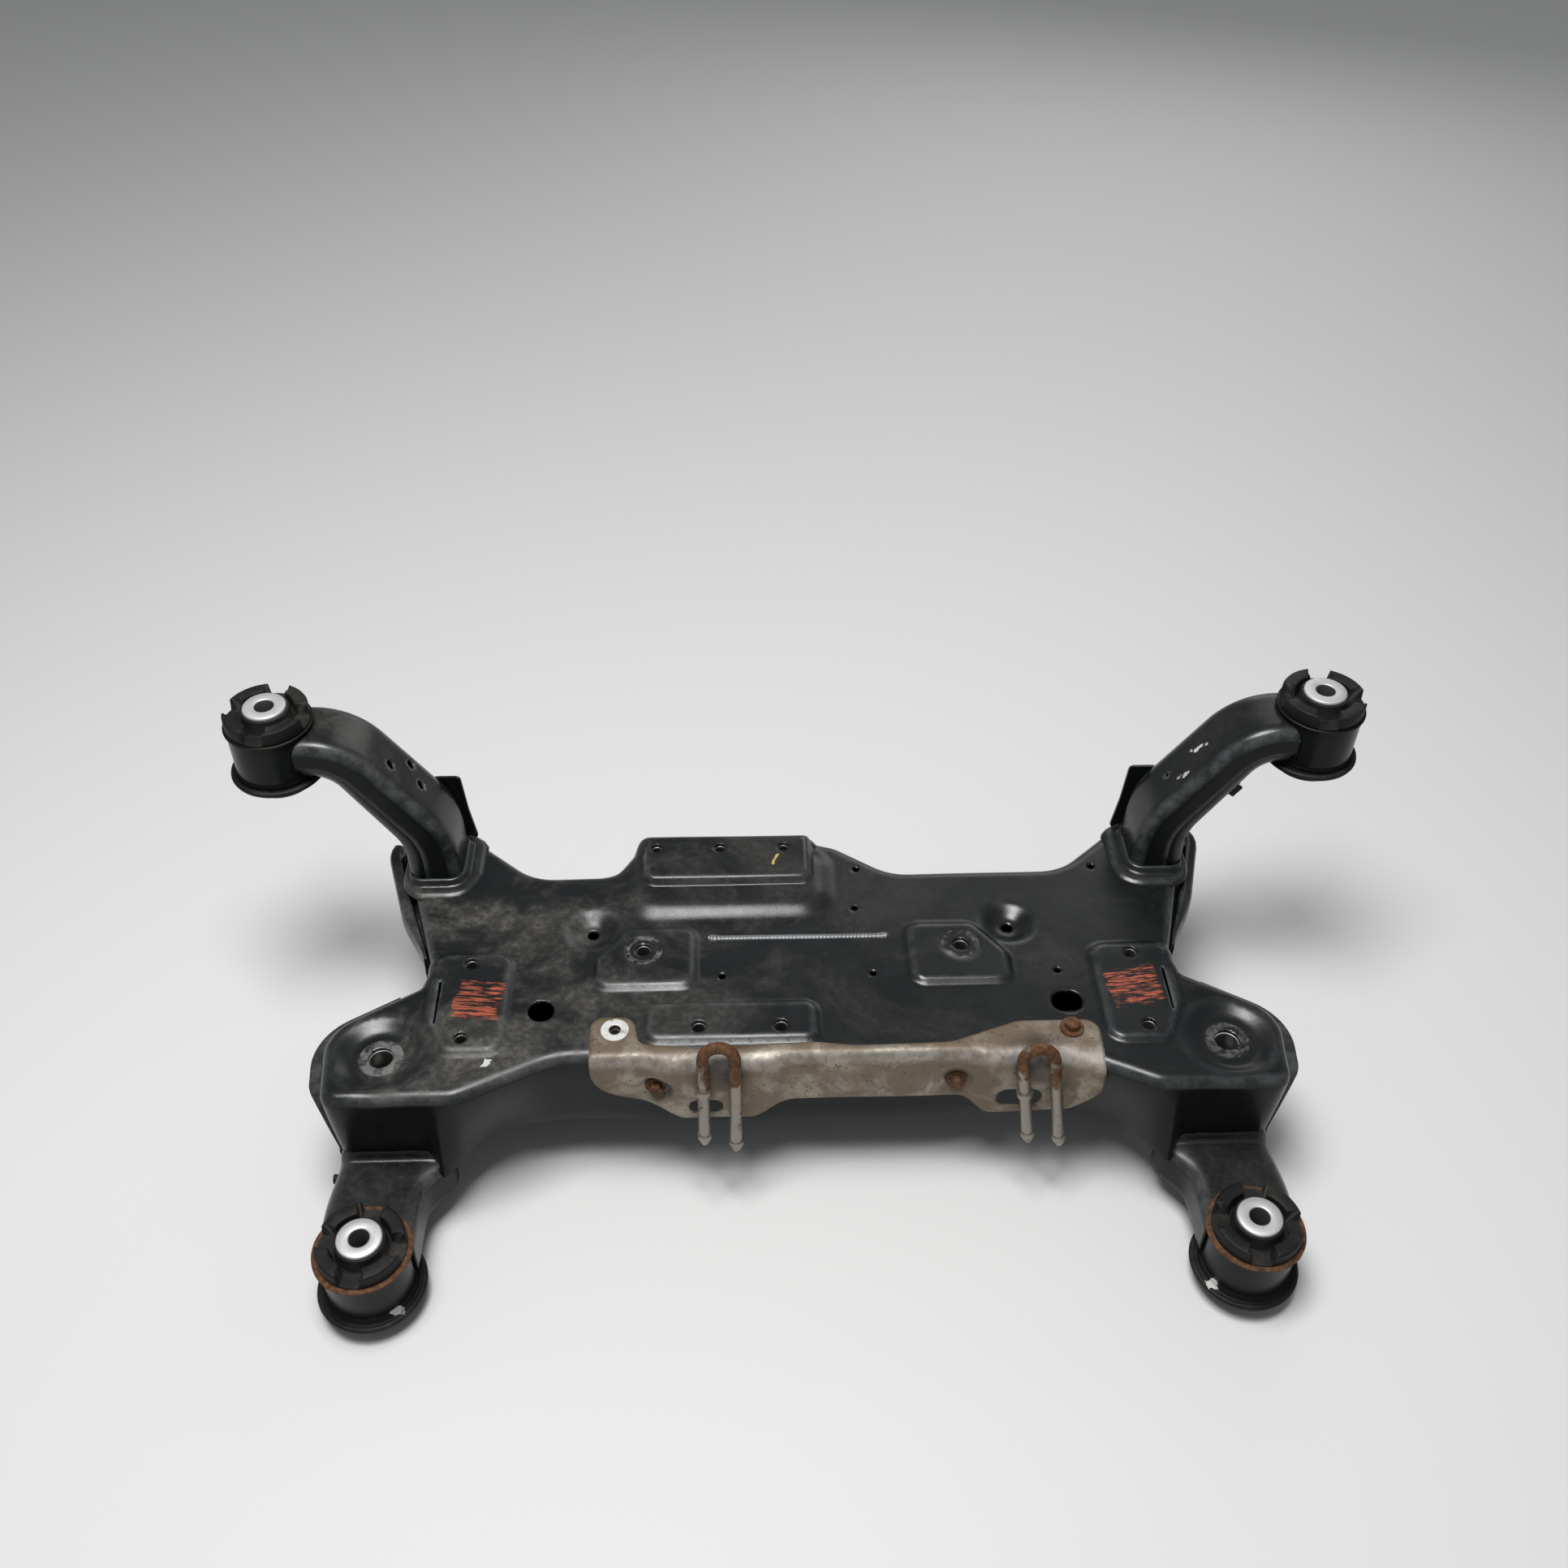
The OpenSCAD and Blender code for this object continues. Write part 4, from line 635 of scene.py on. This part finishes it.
def horn_half(side, upper, cuts=()):
    """Half box section carried along the horn's middle line. The sheet is laid flat as t along the line and v
    across the section: the cap where v is small, then a bend, then a side wall down to the seam. Every v stops
    where it meets the tube, the depth narrows with height, and cuts are holes as (t, v, radius)."""
    s, line, lean = horn_path()
    half, sign = (HORN_HALF, 1) if upper else (HORN_HALF - LAP, -1)
    cap, bend = half - HORN_BEND, HORN_BEND * np.pi / 2
    reach = cap + bend + HORN_WALL
    lip = SEAM - sign * 2

    def place_at(t, v):
        round_ = np.clip((np.abs(v) - cap) / HORN_BEND, 0, np.pi / 2)
        part = 1 - np.clip((np.abs(v) - cap - bend) / HORN_WALL, 0, 1)
        across = np.sign(v) * (np.minimum(np.abs(v), cap) + HORN_BEND * np.sin(round_))
        x, z, a = (np.interp(t, s, row) for row in (line[:, 0], line[:, 1], lean))
        depth = 22 - 5 * np.clip((z - HORN_FOOT) / (HORN_TOP - HORN_FOOT), 0, 1)
        out = sign * (depth - HORN_BEND * (1 - np.cos(round_))) * part + lip * (1 - part)
        ridge = 1.2 * sign * np.exp(-((across / (half - 3)) ** 2 - 1) ** 2 / 0.02) * (part >= 1)
        out = out + ridge * ease((t - 20) / 30) * (0.5 if upper else 1)
        # lighter along the cap's bends, at the seam lip and round the holes: worn coat and a painted highlight
        rub_and_sheen = np.exp(-((np.abs(across) - half + 2.5) / 3) ** 2) * (part >= 1) + 0.5 * (part < 0.1)
        return np.stack([x - out * np.cos(a), FRONT_BUSH[1] + across, z + out * np.sin(a)], -1), rub_and_sheen
    v = np.linspace(-reach, reach, 64)
    probe = place_at(*np.broadcast_arrays(s[:, None], v))[0]
    off = np.hypot(probe[..., 0] - FRONT_BUSH[0], probe[..., 1] - FRONT_BUSH[1])
    stop = s[np.argmax(off < TUBE_R + WELD_GAP, 0)]
    edge_t = np.linspace(0, 1, 90)[1:-1]
    rim = np.concatenate([np.stack([edge_t * stop[0], -reach + 0 * edge_t], 1), np.stack([stop, v], 1),
                          np.stack([edge_t[::-1] * stop[-1], reach + 0 * edge_t], 1),
                          np.stack([0 * v, v[::-1]], 1)])
    flat, faces = cut_sheet(rim, [circle(*cut, 28) for cut in cuts], 2.5)
    points, rub_and_sheen = place_at(*flat.T)
    for cut_t, cut_v, r in cuts:
        rub_and_sheen = np.maximum(rub_and_sheen, ease((r + 2.4 - np.hypot(flat[:, 0] - cut_t, flat[:, 1] - cut_v)) / 1.6))
    points[:, 0] *= side
    return points, faces[:, ::-1] if (side > 0) == upper else faces, rub_and_sheen


run, line = horn_path()[:2]
mid_t = run[np.argmin(np.hypot(line[:, 0] - 360, line[:, 1] - 246.25))]
horn_cuts = {"left": [(mid_t + 18, -5.5, 4.5), (mid_t - 3, 14, 4.5), (mid_t - 18.5, 1, 4.5)],
             "right": [(mid_t - 23, 2, 2.4)]}
for side, name in SIDES:
    for upper, label in ((True, "horn_upper_"), (False, "horn_lower_")):
        points, triangles, rub_and_sheen = horn_half(side, upper, horn_cuts[name] if upper else ())
        new_piece(label + name + "_skin", points, triangles.tolist(), horn_coat, SHEET, 0.9 * rub_and_sheen,
                  node=label + name)

# Body-mount bushes: a rubber body with four raised blocks and a wide lower disc, bonded round a machined
# aluminium sleeve and pressed into the housing tube by its thin flanged can, whose rim has rusted.
rubber, tree, shader, where = new_material("bush_rubber", ior=1.5, specular_ior_level=0.24)
grain = place(tree, sheet_grain, {"Fine": 1400.0, "Dents": 90.0})
dusty = place(tree, road_dust, {"Amount": 0.30, "Left": 0.1, "Scale": 26.0})
colour = blend(tree, grain["Cloud"], (0.0050, 0.0050, 0.0050, 1), (0.0125, 0.0122, 0.0118, 1))
colour = blend(tree, dusty["Mask"], colour, (0.085, 0.074, 0.060, 1))
for centre in ((-0.3294, -0.200, 0.023), (0.323, -0.196, 0.023)):
    dab = place(tree, paint_dab, {"Centre": centre, "Half": (0.005, 0.004, 0.005), "Hairs": (90, 90, 90),
                                  "Cover": 0.60})
    colour = blend(tree, dab["Mask"], colour, white)
tree.links.new(colour, shader["Base Color"])
finish(tree, shader, scaled(tree, grain["Cloud"], 0.2, 0.46), grain["Height"], 0.25, 0.0008)

sleeve_alloy, tree, shader, where = new_material("sleeve_alloy", metallic=0.65)
grain = place(tree, sheet_grain, {"Fine": 1100.0, "Dents": 160.0})
stain = place(tree, rust_bloom, {"Amount": 0.26, "Scale": 150.0})
colour = blend(tree, grain["Cloud"], (0.56, 0.56, 0.56, 1), (0.78, 0.78, 0.78, 1))
colour = blend(tree, times(tree, stain["Mask"], 0.6), colour, (0.26, 0.24, 0.21, 1))
# the bore is painted almost black: painted shade down the hole
bore = add(tree, "Attribute", attribute_name="wear_and_painted_light").outputs["Fac"]
tree.links.new(blend(tree, bore, colour, (0.045, 0.042, 0.038, 1)), shader["Base Color"])
finish(tree, shader, scaled(tree, grain["Cloud"], 0.25, 0.40), grain["Height"], 0.2, 0.0006)


def rusty_metal(name, rust, bare, top=0.0):
    """Bare steel under rust: grey metal where clean, brown and rough where the bloom covers it, with an extra
    share of rust towards the top, where a rod enters its bracket."""
    material, tree, shader, where = new_material(name)
    height = add(tree, "SeparateXYZ", {0: where}).outputs[2]
    amount = scaled(tree, between(tree, height, 0.115, 0.160), top, rust)
    bloom = place(tree, rust_bloom, {"Amount": amount, "Scale": 70.0})
    tree.links.new(blend(tree, bloom["Mask"], bare, bloom["Colour"]), shader["Base Color"])
    tree.links.new(calc(tree, "SUBTRACT", 0.9, times(tree, bloom["Mask"], 0.75)), shader["Metallic"])
    finish(tree, shader, scaled(tree, bloom["Mask"], 0.38, 0.40), bloom["Height"], 0.35, 0.0008)
    return material


flange_rust = rusty_metal("flange_rust", 0.56, (0.10, 0.085, 0.07, 1))
flange_dark = rusty_metal("flange_dark", 0.22, (0.030, 0.026, 0.023, 1))
SLEEVE_R, BORE_R, SLEEVE_H, CAN_R, CAN_H = 18.0, 8.0, 84.0, 32.4, 30.0
FLANGE_DOWN, DISC_DOWN = 18.0, 69.0  # from the sleeve's top to the can's flange and to the lower disc
BODY_AROUND, CAN_AROUND = 288, 120


def turned(x, y, profile, around=96):
    """Ring of points for each radius and height of a closed profile, turned about an upright axis."""
    a = np.linspace(0, 2 * np.pi, around, endpoint=False)
    r, z = np.array(profile, float).T
    loop = np.dstack([x + r[:, None] * np.cos(a), y + r[:, None] * np.sin(a), z[:, None] + 0 * a])
    quads = grid_faces(len(r), around, True)
    i = np.arange(around)
    seal = np.stack([(len(r) - 1) * around + i, i, np.roll(i, -1), (len(r) - 1) * around + np.roll(i, -1)], 1)
    return loop, np.vstack([quads, seal])


def bush_body(x, y, top, disc):
    """Rubber profile turned about the bush's axis; above the can it keeps only four blocks, the rest of the
    ring being lowered by the blocks' height where an 18 mm gap crosses it, 8 degrees off each axis."""
    low = top - DISC_DOWN
    shelf, crown = top - 14.6, top - 3.2
    profile = [[18.1, low - 11], [26.5, low - 11], [28.6, low - 9.8], [29, low - 1.2], [disc - 3, low - 0.2],
               [disc - 0.8, low + 0.8], [disc, low + 2.6], [disc - 0.4, low + 4.2], [disc - 2, low + 5.2],
               [disc - 4, low + 5.2], [disc - 5, low + 4.2], [disc - 6, low + 5], [disc - 7.5, low + 7.4],
               [37, low + 9], [32.6, low + 9.4], [32, low + 14], [32, shelf - 1.5], [33.5, shelf - 1.4],
               [35.2, shelf - 1.1], [35.5, shelf], [35.4, crown - 1.6], [34.8, crown - 0.4], [33.6, crown],
               [25.6, crown], [24.5, crown - 0.4], [24, crown - 1.6], [23.7, shelf], [22.4, shelf - 1.6],
               [20.8, shelf - 1.2], [20.3, top - 3.4], [19.8, top - 2.4], [18.1, top - 2]]
    loop, quads = turned(x, y, profile, BODY_AROUND)
    a = np.linspace(0, 2 * np.pi, BODY_AROUND, endpoint=False)
    r, z = np.array(profile).T
    off = np.abs(((a + 0.14 + np.pi / 4) % (np.pi / 2)) - np.pi / 4)
    slot = ease((9.0 / r[:, None] + 0.012 - off) / 0.024) * ((r > 22) & (z > shelf - 0.1) & (r < 36))[:, None]
    loop[..., 2] += slot * (shelf - 0.05 * (loop[..., 2] - shelf) - loop[..., 2]) * 0.98
    return loop.reshape(-1, 3), quads


# each end's middle, the height of its sleeve, the radii of its disc and flange, and the flange's finish
bushes = {"rear": (REAR_BUSH, 84.0, 44.0, 39.5, flange_rust),
          "front": (FRONT_BUSH, 335.0, 41.0, 37.5, flange_dark)}
for end, ((x, y), top, disc, rim, rust) in bushes.items():
    for side, name in SIDES:
        points, quads = bush_body(side * x, y, top, disc)
        new_piece(f"{end}_bush_{name}", points, quads.tolist(), rubber,
                  node=f"{end}_rubber_{name}")
        z = top - FLANGE_DOWN
        can, quads = turned(side * x, y, [
            [CAN_R - 0.5, z - CAN_H], [CAN_R, z - CAN_H], [CAN_R, z - 0.1], [rim - 0.6, z - 0.1],
            [rim, z + 0.5], [rim, z + 1.3], [rim - 0.6, z + 1.8], [34, z + 1.8], [CAN_R - 0.5, z + 1.8]],
            CAN_AROUND)
        a = np.linspace(0, 2 * np.pi, CAN_AROUND, endpoint=False)
        can[3:7, :, 2] += 0.35 * np.sin(3 * a + side) + 0.2 * np.sin(7 * a)
        new_piece(f"{end}_flange_{name}", can.reshape(-1, 3), quads.tolist(), rust,
                  node=f"{end}_can_{name}")
        low = top - SLEEVE_H
        sleeve, quads = turned(side * x, y, [
            [BORE_R, low + 1], [BORE_R + 1, low], [SLEEVE_R - 1, low], [SLEEVE_R, low + 1],
            [SLEEVE_R, top - 1.2], [SLEEVE_R - 0.3, top - 0.4], [SLEEVE_R - 1, top], [BORE_R + 1.4, top],
            [BORE_R + 0.5, top - 0.3], [BORE_R, top - 1]])
        # the bore's rows carry the painted shade
        bore = np.repeat([1, 0, 0, 0, 0, 0, 0, 0, 0, 0.9], sleeve.shape[1])
        new_piece(f"{end}_sleeve_{name}_turned", sleeve.reshape(-1, 3), quads.tolist(), sleeve_alloy, wear_and_painted_light=bore,
                  node=f"{end}_sleeve_{name}")

# Exhaust bracket: 2 mm galvanised sheet bent over the near edge of the deck, stained brown, with round
# cups for its wall bolts.
galvanised, tree, shader, where = new_material("galvanised_sheet")
stain = place(tree, rust_bloom, {"Amount": 0.48, "Scale": 26.0})
grain = place(tree, sheet_grain, {"Fine": 700.0, "Dents": 120.0})
spots = between(tree, noise(tree, where, 230, 4, 0.6), 0.60, 0.68)
film = between(tree, noise(tree, where, 13, 6, 0.6, 0.3), 0.30, 0.70)
colour = blend(tree, film, (0.37, 0.335, 0.275, 1), (0.22, 0.18, 0.13, 1))
colour = blend(tree, times(tree, stain["Mask"], 0.75), colour, (0.12, 0.074, 0.036, 1))
colour = blend(tree, times(tree, spots, 0.8), colour, (0.07, 0.046, 0.028, 1))
for rod_x in (-0.0725, 0.187):
    off = vector(tree, "DISTANCE", where, {1: (rod_x, -0.062, 0.146)})["Value"]
    soot = times(tree, between(tree, off, 0.034, 0.012), between(tree, grain["Cloud"], 0.25, 0.6))
    colour = blend(tree, soot, colour, (0.050, 0.036, 0.024, 1))
# lighter along the bend: rubbed zinc and a painted highlight
crease = add(tree, "Attribute", attribute_name="wear_and_painted_light").outputs["Fac"]
rubbed_and_sheen = place(tree, crease_wear_and_sheen, {"Crease": crease, "Scratches": 0.25})["Mask"]
colour = blend(tree, times(tree, rubbed_and_sheen, 0.5), colour, (0.52, 0.51, 0.48, 1))
washer = place(tree, ring_mark, {"Centre": (-0.158, -0.027, 0.1512), "Inner": 0.0048, "Outer": 0.0118,
                                 "Cover": 0.62})
colour = blend(tree, washer["Mask"], colour, (0.72, 0.72, 0.70, 1))
tree.links.new(colour, shader["Base Color"])
tree.links.new(calc(tree, "SUBTRACT", 0.62, times(tree, stain["Mask"], 0.45)), shader["Metallic"])
finish(tree, shader, scaled(tree, grain["Cloud"], 0.3, 0.34), grain["Height"], 0.25, 0.001)
BRACKET_SHEET, BRACKET_BACK, BRACKET_TOP = 2.0, -14.0, 151.2
BRACKET_FLAT, BRACKET_BEND, BRACKET_FACE = 35.0, 17.0, 61.7  # flat length, bend radius, start of the face
CUP_Z, CUP_Y = 116.0, -56.6


def bracket_skin():
    """Bent sheet over x and developed length: flat on the deck, round a 17 mm bend, then down the face. Between
    the two bosses that carry the rods the face is drawn back towards the wall; round cups sink to the wall,
    and the right end swings out with the wall behind it."""
    corners = [[-178, 0, 10], [-143, 0, 12], [-138, 28, 8], [-95, 33.5, 60], [6, 29.5, 60], [42, 34.5, 60],
               [118, 32.5, 40], [175, 12, 14], [242, 12, 12], [242, 76, 16], [216, 112, 16], [150, 115, 12],
               [132, 99, 16], [-26, 99, 20], [-44, 113.5, 12], [-104, 113.5, 10], [-120, 101, 20],
               [-178, 84, 30]]
    rim = even_loop(*rounded_loop(corners), 2.6)[0]
    cuts = [circle(-158, 13, 4.6, 32), circle(219, 21, 4.6, 24),
            rounded_loop(pad_box(157, 195, 84, 106, 10))[0], circle(-125, 80, 4.4, 24),
            circle(123, 80, 4.4, 24), rounded_loop(pad_box(-98, -70, 90, 107, 8))[0]]
    flat, faces = cut_sheet(rim, cuts, 2.6)
    x, s = flat.T
    turn = np.clip((s - BRACKET_FLAT) / BRACKET_BEND, 0, np.pi / 2)
    y = BRACKET_BACK - np.minimum(s, BRACKET_FLAT) - BRACKET_BEND * np.sin(turn)
    z = BRACKET_TOP - BRACKET_BEND * (1 - np.cos(turn)) - np.maximum(s - BRACKET_FACE, 0)
    boss = np.maximum(ease((64 - np.abs(x + 74)) / 26), ease((66 - np.abs(x - 190)) / 26))
    y = y + 6.8 * (1 - boss) * ease((s - 34) / 26) - 0.44 * np.maximum(x - 212, 0) * ease((s - 30) / 26)
    for cx in (-125, 123):
        r = np.hypot(x - cx, z - CUP_Z)
        y = y + (CUP_Y - y) * ease((16 - r) / 6)
    for cx in (-72.5, 187):
        r = np.hypot((x - cx) / 15, (z - 140) / 16)
        y = y + 1.6 * ease((1.25 - r) / 0.6) * ease((s - 40) / 12)
    z = z + 0.3 * np.sin(x / 17) * ease((s - 40) / 30)
    # lighter over the bend: rubbed zinc and a painted highlight
    rub_and_sheen = ease((s - 36) / 8) * ease((58 - s) / 8)
    return np.column_stack([x, y, z]), faces[:, ::-1], rub_and_sheen


points, triangles, rub_and_sheen = bracket_skin()
new_piece("hanger_bracket", points, triangles.tolist(), galvanised, BRACKET_SHEET, rub_and_sheen,
          "exhaust_bracket")

# Hanger rods, bolts, nuts and clips: bare steel that has rusted, the nuts inside the box still bright, with
# cut threads that show in the deck's holes. The harness clip and the arm's stud are black plastic.
rod_rust = rusty_metal("rod_rust", 0.33, (0.30, 0.275, 0.235, 1), 0.24)
nut_steel = rusty_metal("nut_steel", 0.30, (0.50, 0.49, 0.47, 1))
nut_places = ("bracket", "rack", "clamp", "tall_pad", "low_pad", "horn")
dress(["hanger_rod_" + name for side, name in SIDES], rod_rust)
dress(["bracket_bolts"], flange_rust)
dress([label + "_weld_nuts" for label in nut_places], nut_steel)
dress(["harness_clip", "arm_stud"], rubber)

bright_thread, tree, shader, where = new_material("bright_thread", metallic=0.9, roughness=0.32)
grain = place(tree, sheet_grain, {"Fine": 1400.0, "Dents": 300.0})
tree.links.new(blend(tree, grain["Cloud"], (0.34, 0.33, 0.31, 1), (0.72, 0.71, 0.69, 1)), shader["Base Color"])
HALF_PITCH, THREAD_DEPTH = 0.6, 0.7
threads = [(x, y, r, z) for spots, r, z in (
    (clamp_spots, CLAMP_R, 150.1), (rack_spots, RACK_R, 149.4), (tall_spots, TALL_R, 158.1),
    (low_spots, LOW_R, 150.1), (lobe_spots, LOBE_R, 140.6)) for x, y in spots]
for k, (x, y, r, z) in enumerate(threads):
    count = int((2.2 * r + 3) / HALF_PITCH)
    profile = [[r - 0.15 - THREAD_DEPTH * (i % 2), z - 0.3 - HALF_PITCH * i] for i in range(count)]
    profile += [[r - 0.03, z - HALF_PITCH * count - 0.3], [r - 0.03, z]]
    loop, quads = turned(x, y, profile, 40)
    new_piece(f"nut_thread_{k + 1}", loop.reshape(-1, 3), quads[:, ::-1].tolist(), bright_thread)

# Floor, light and camera: a plain pale floor under soft studio light, seen from the photograph's place.
floor_colour, tree, shader, where = new_material("floor", roughness=0.6)
shader["Base Color"].default_value = (0.80, 0.80, 0.79, 1)
FLOOR_HALF, FLOOR_Z = 8.0, -0.0005
mesh = bpy.data.meshes.new("floor")
mesh.from_pydata([(FLOOR_HALF * x, FLOOR_HALF * y, FLOOR_Z) for x, y in ((-1, -1), (1, -1), (1, 1), (-1, 1))],
                 [], [(0, 1, 2, 3)])
mesh.materials.append(floor_colour)
floor = bpy.data.objects.new("floor", mesh)
bpy.context.scene.collection.objects.link(floor)

world = bpy.data.worlds.new("studio")
bpy.context.scene.world = world
world.use_nodes = True
put(world.node_tree, world.node_tree.nodes["Background"], {"Color": (0.86, 0.88, 0.90, 1), "Strength": 0.20})
for name, stand, aim, size, power in (("overhead", (-0.3, -0.25, 2.5), (0, 0, 0.1), 1.0, 56.0),
                                      ("back", (0.9, 2.6, 1.5), (0, 0, 0.15), 1.4, 8.0)):
    lamp = bpy.data.lights.new(name, "AREA")
    lamp.size, lamp.energy = size, power
    light = bpy.data.objects.new(name, lamp)
    light.location = stand
    light.rotation_euler = (Vector(aim) - Vector(stand)).to_track_quat("-Z", "Y").to_euler()
    bpy.context.scene.collection.objects.link(light)

SENSOR, FOCAL_PX, WIDTH_PX = 36.0, 1925, 1932  # sensor width, mm, and the photograph's focal length and width
CAMERA = (-0.0515, -0.8553, 1.1593)
lens = bpy.data.cameras.new("camera")
lens.sensor_width, lens.lens, lens.clip_end = SENSOR, SENSOR * FOCAL_PX / WIDTH_PX, 50
eye = bpy.data.objects.new("camera", lens)
look, right = unit(np.array([0.02802, 0.74551, -0.66590])), unit(np.array([0.99948, -0.03167, 0.00660]))
over = np.cross(right, look)
pose = np.eye(4)
pose[:3, 0], pose[:3, 1], pose[:3, 2], pose[:3, 3] = right, over, -look, CAMERA
eye.matrix_world = Matrix(pose.tolist())
bpy.context.scene.collection.objects.link(eye)
bpy.context.scene.camera = eye
bpy.context.scene.view_settings.view_transform = "Standard"
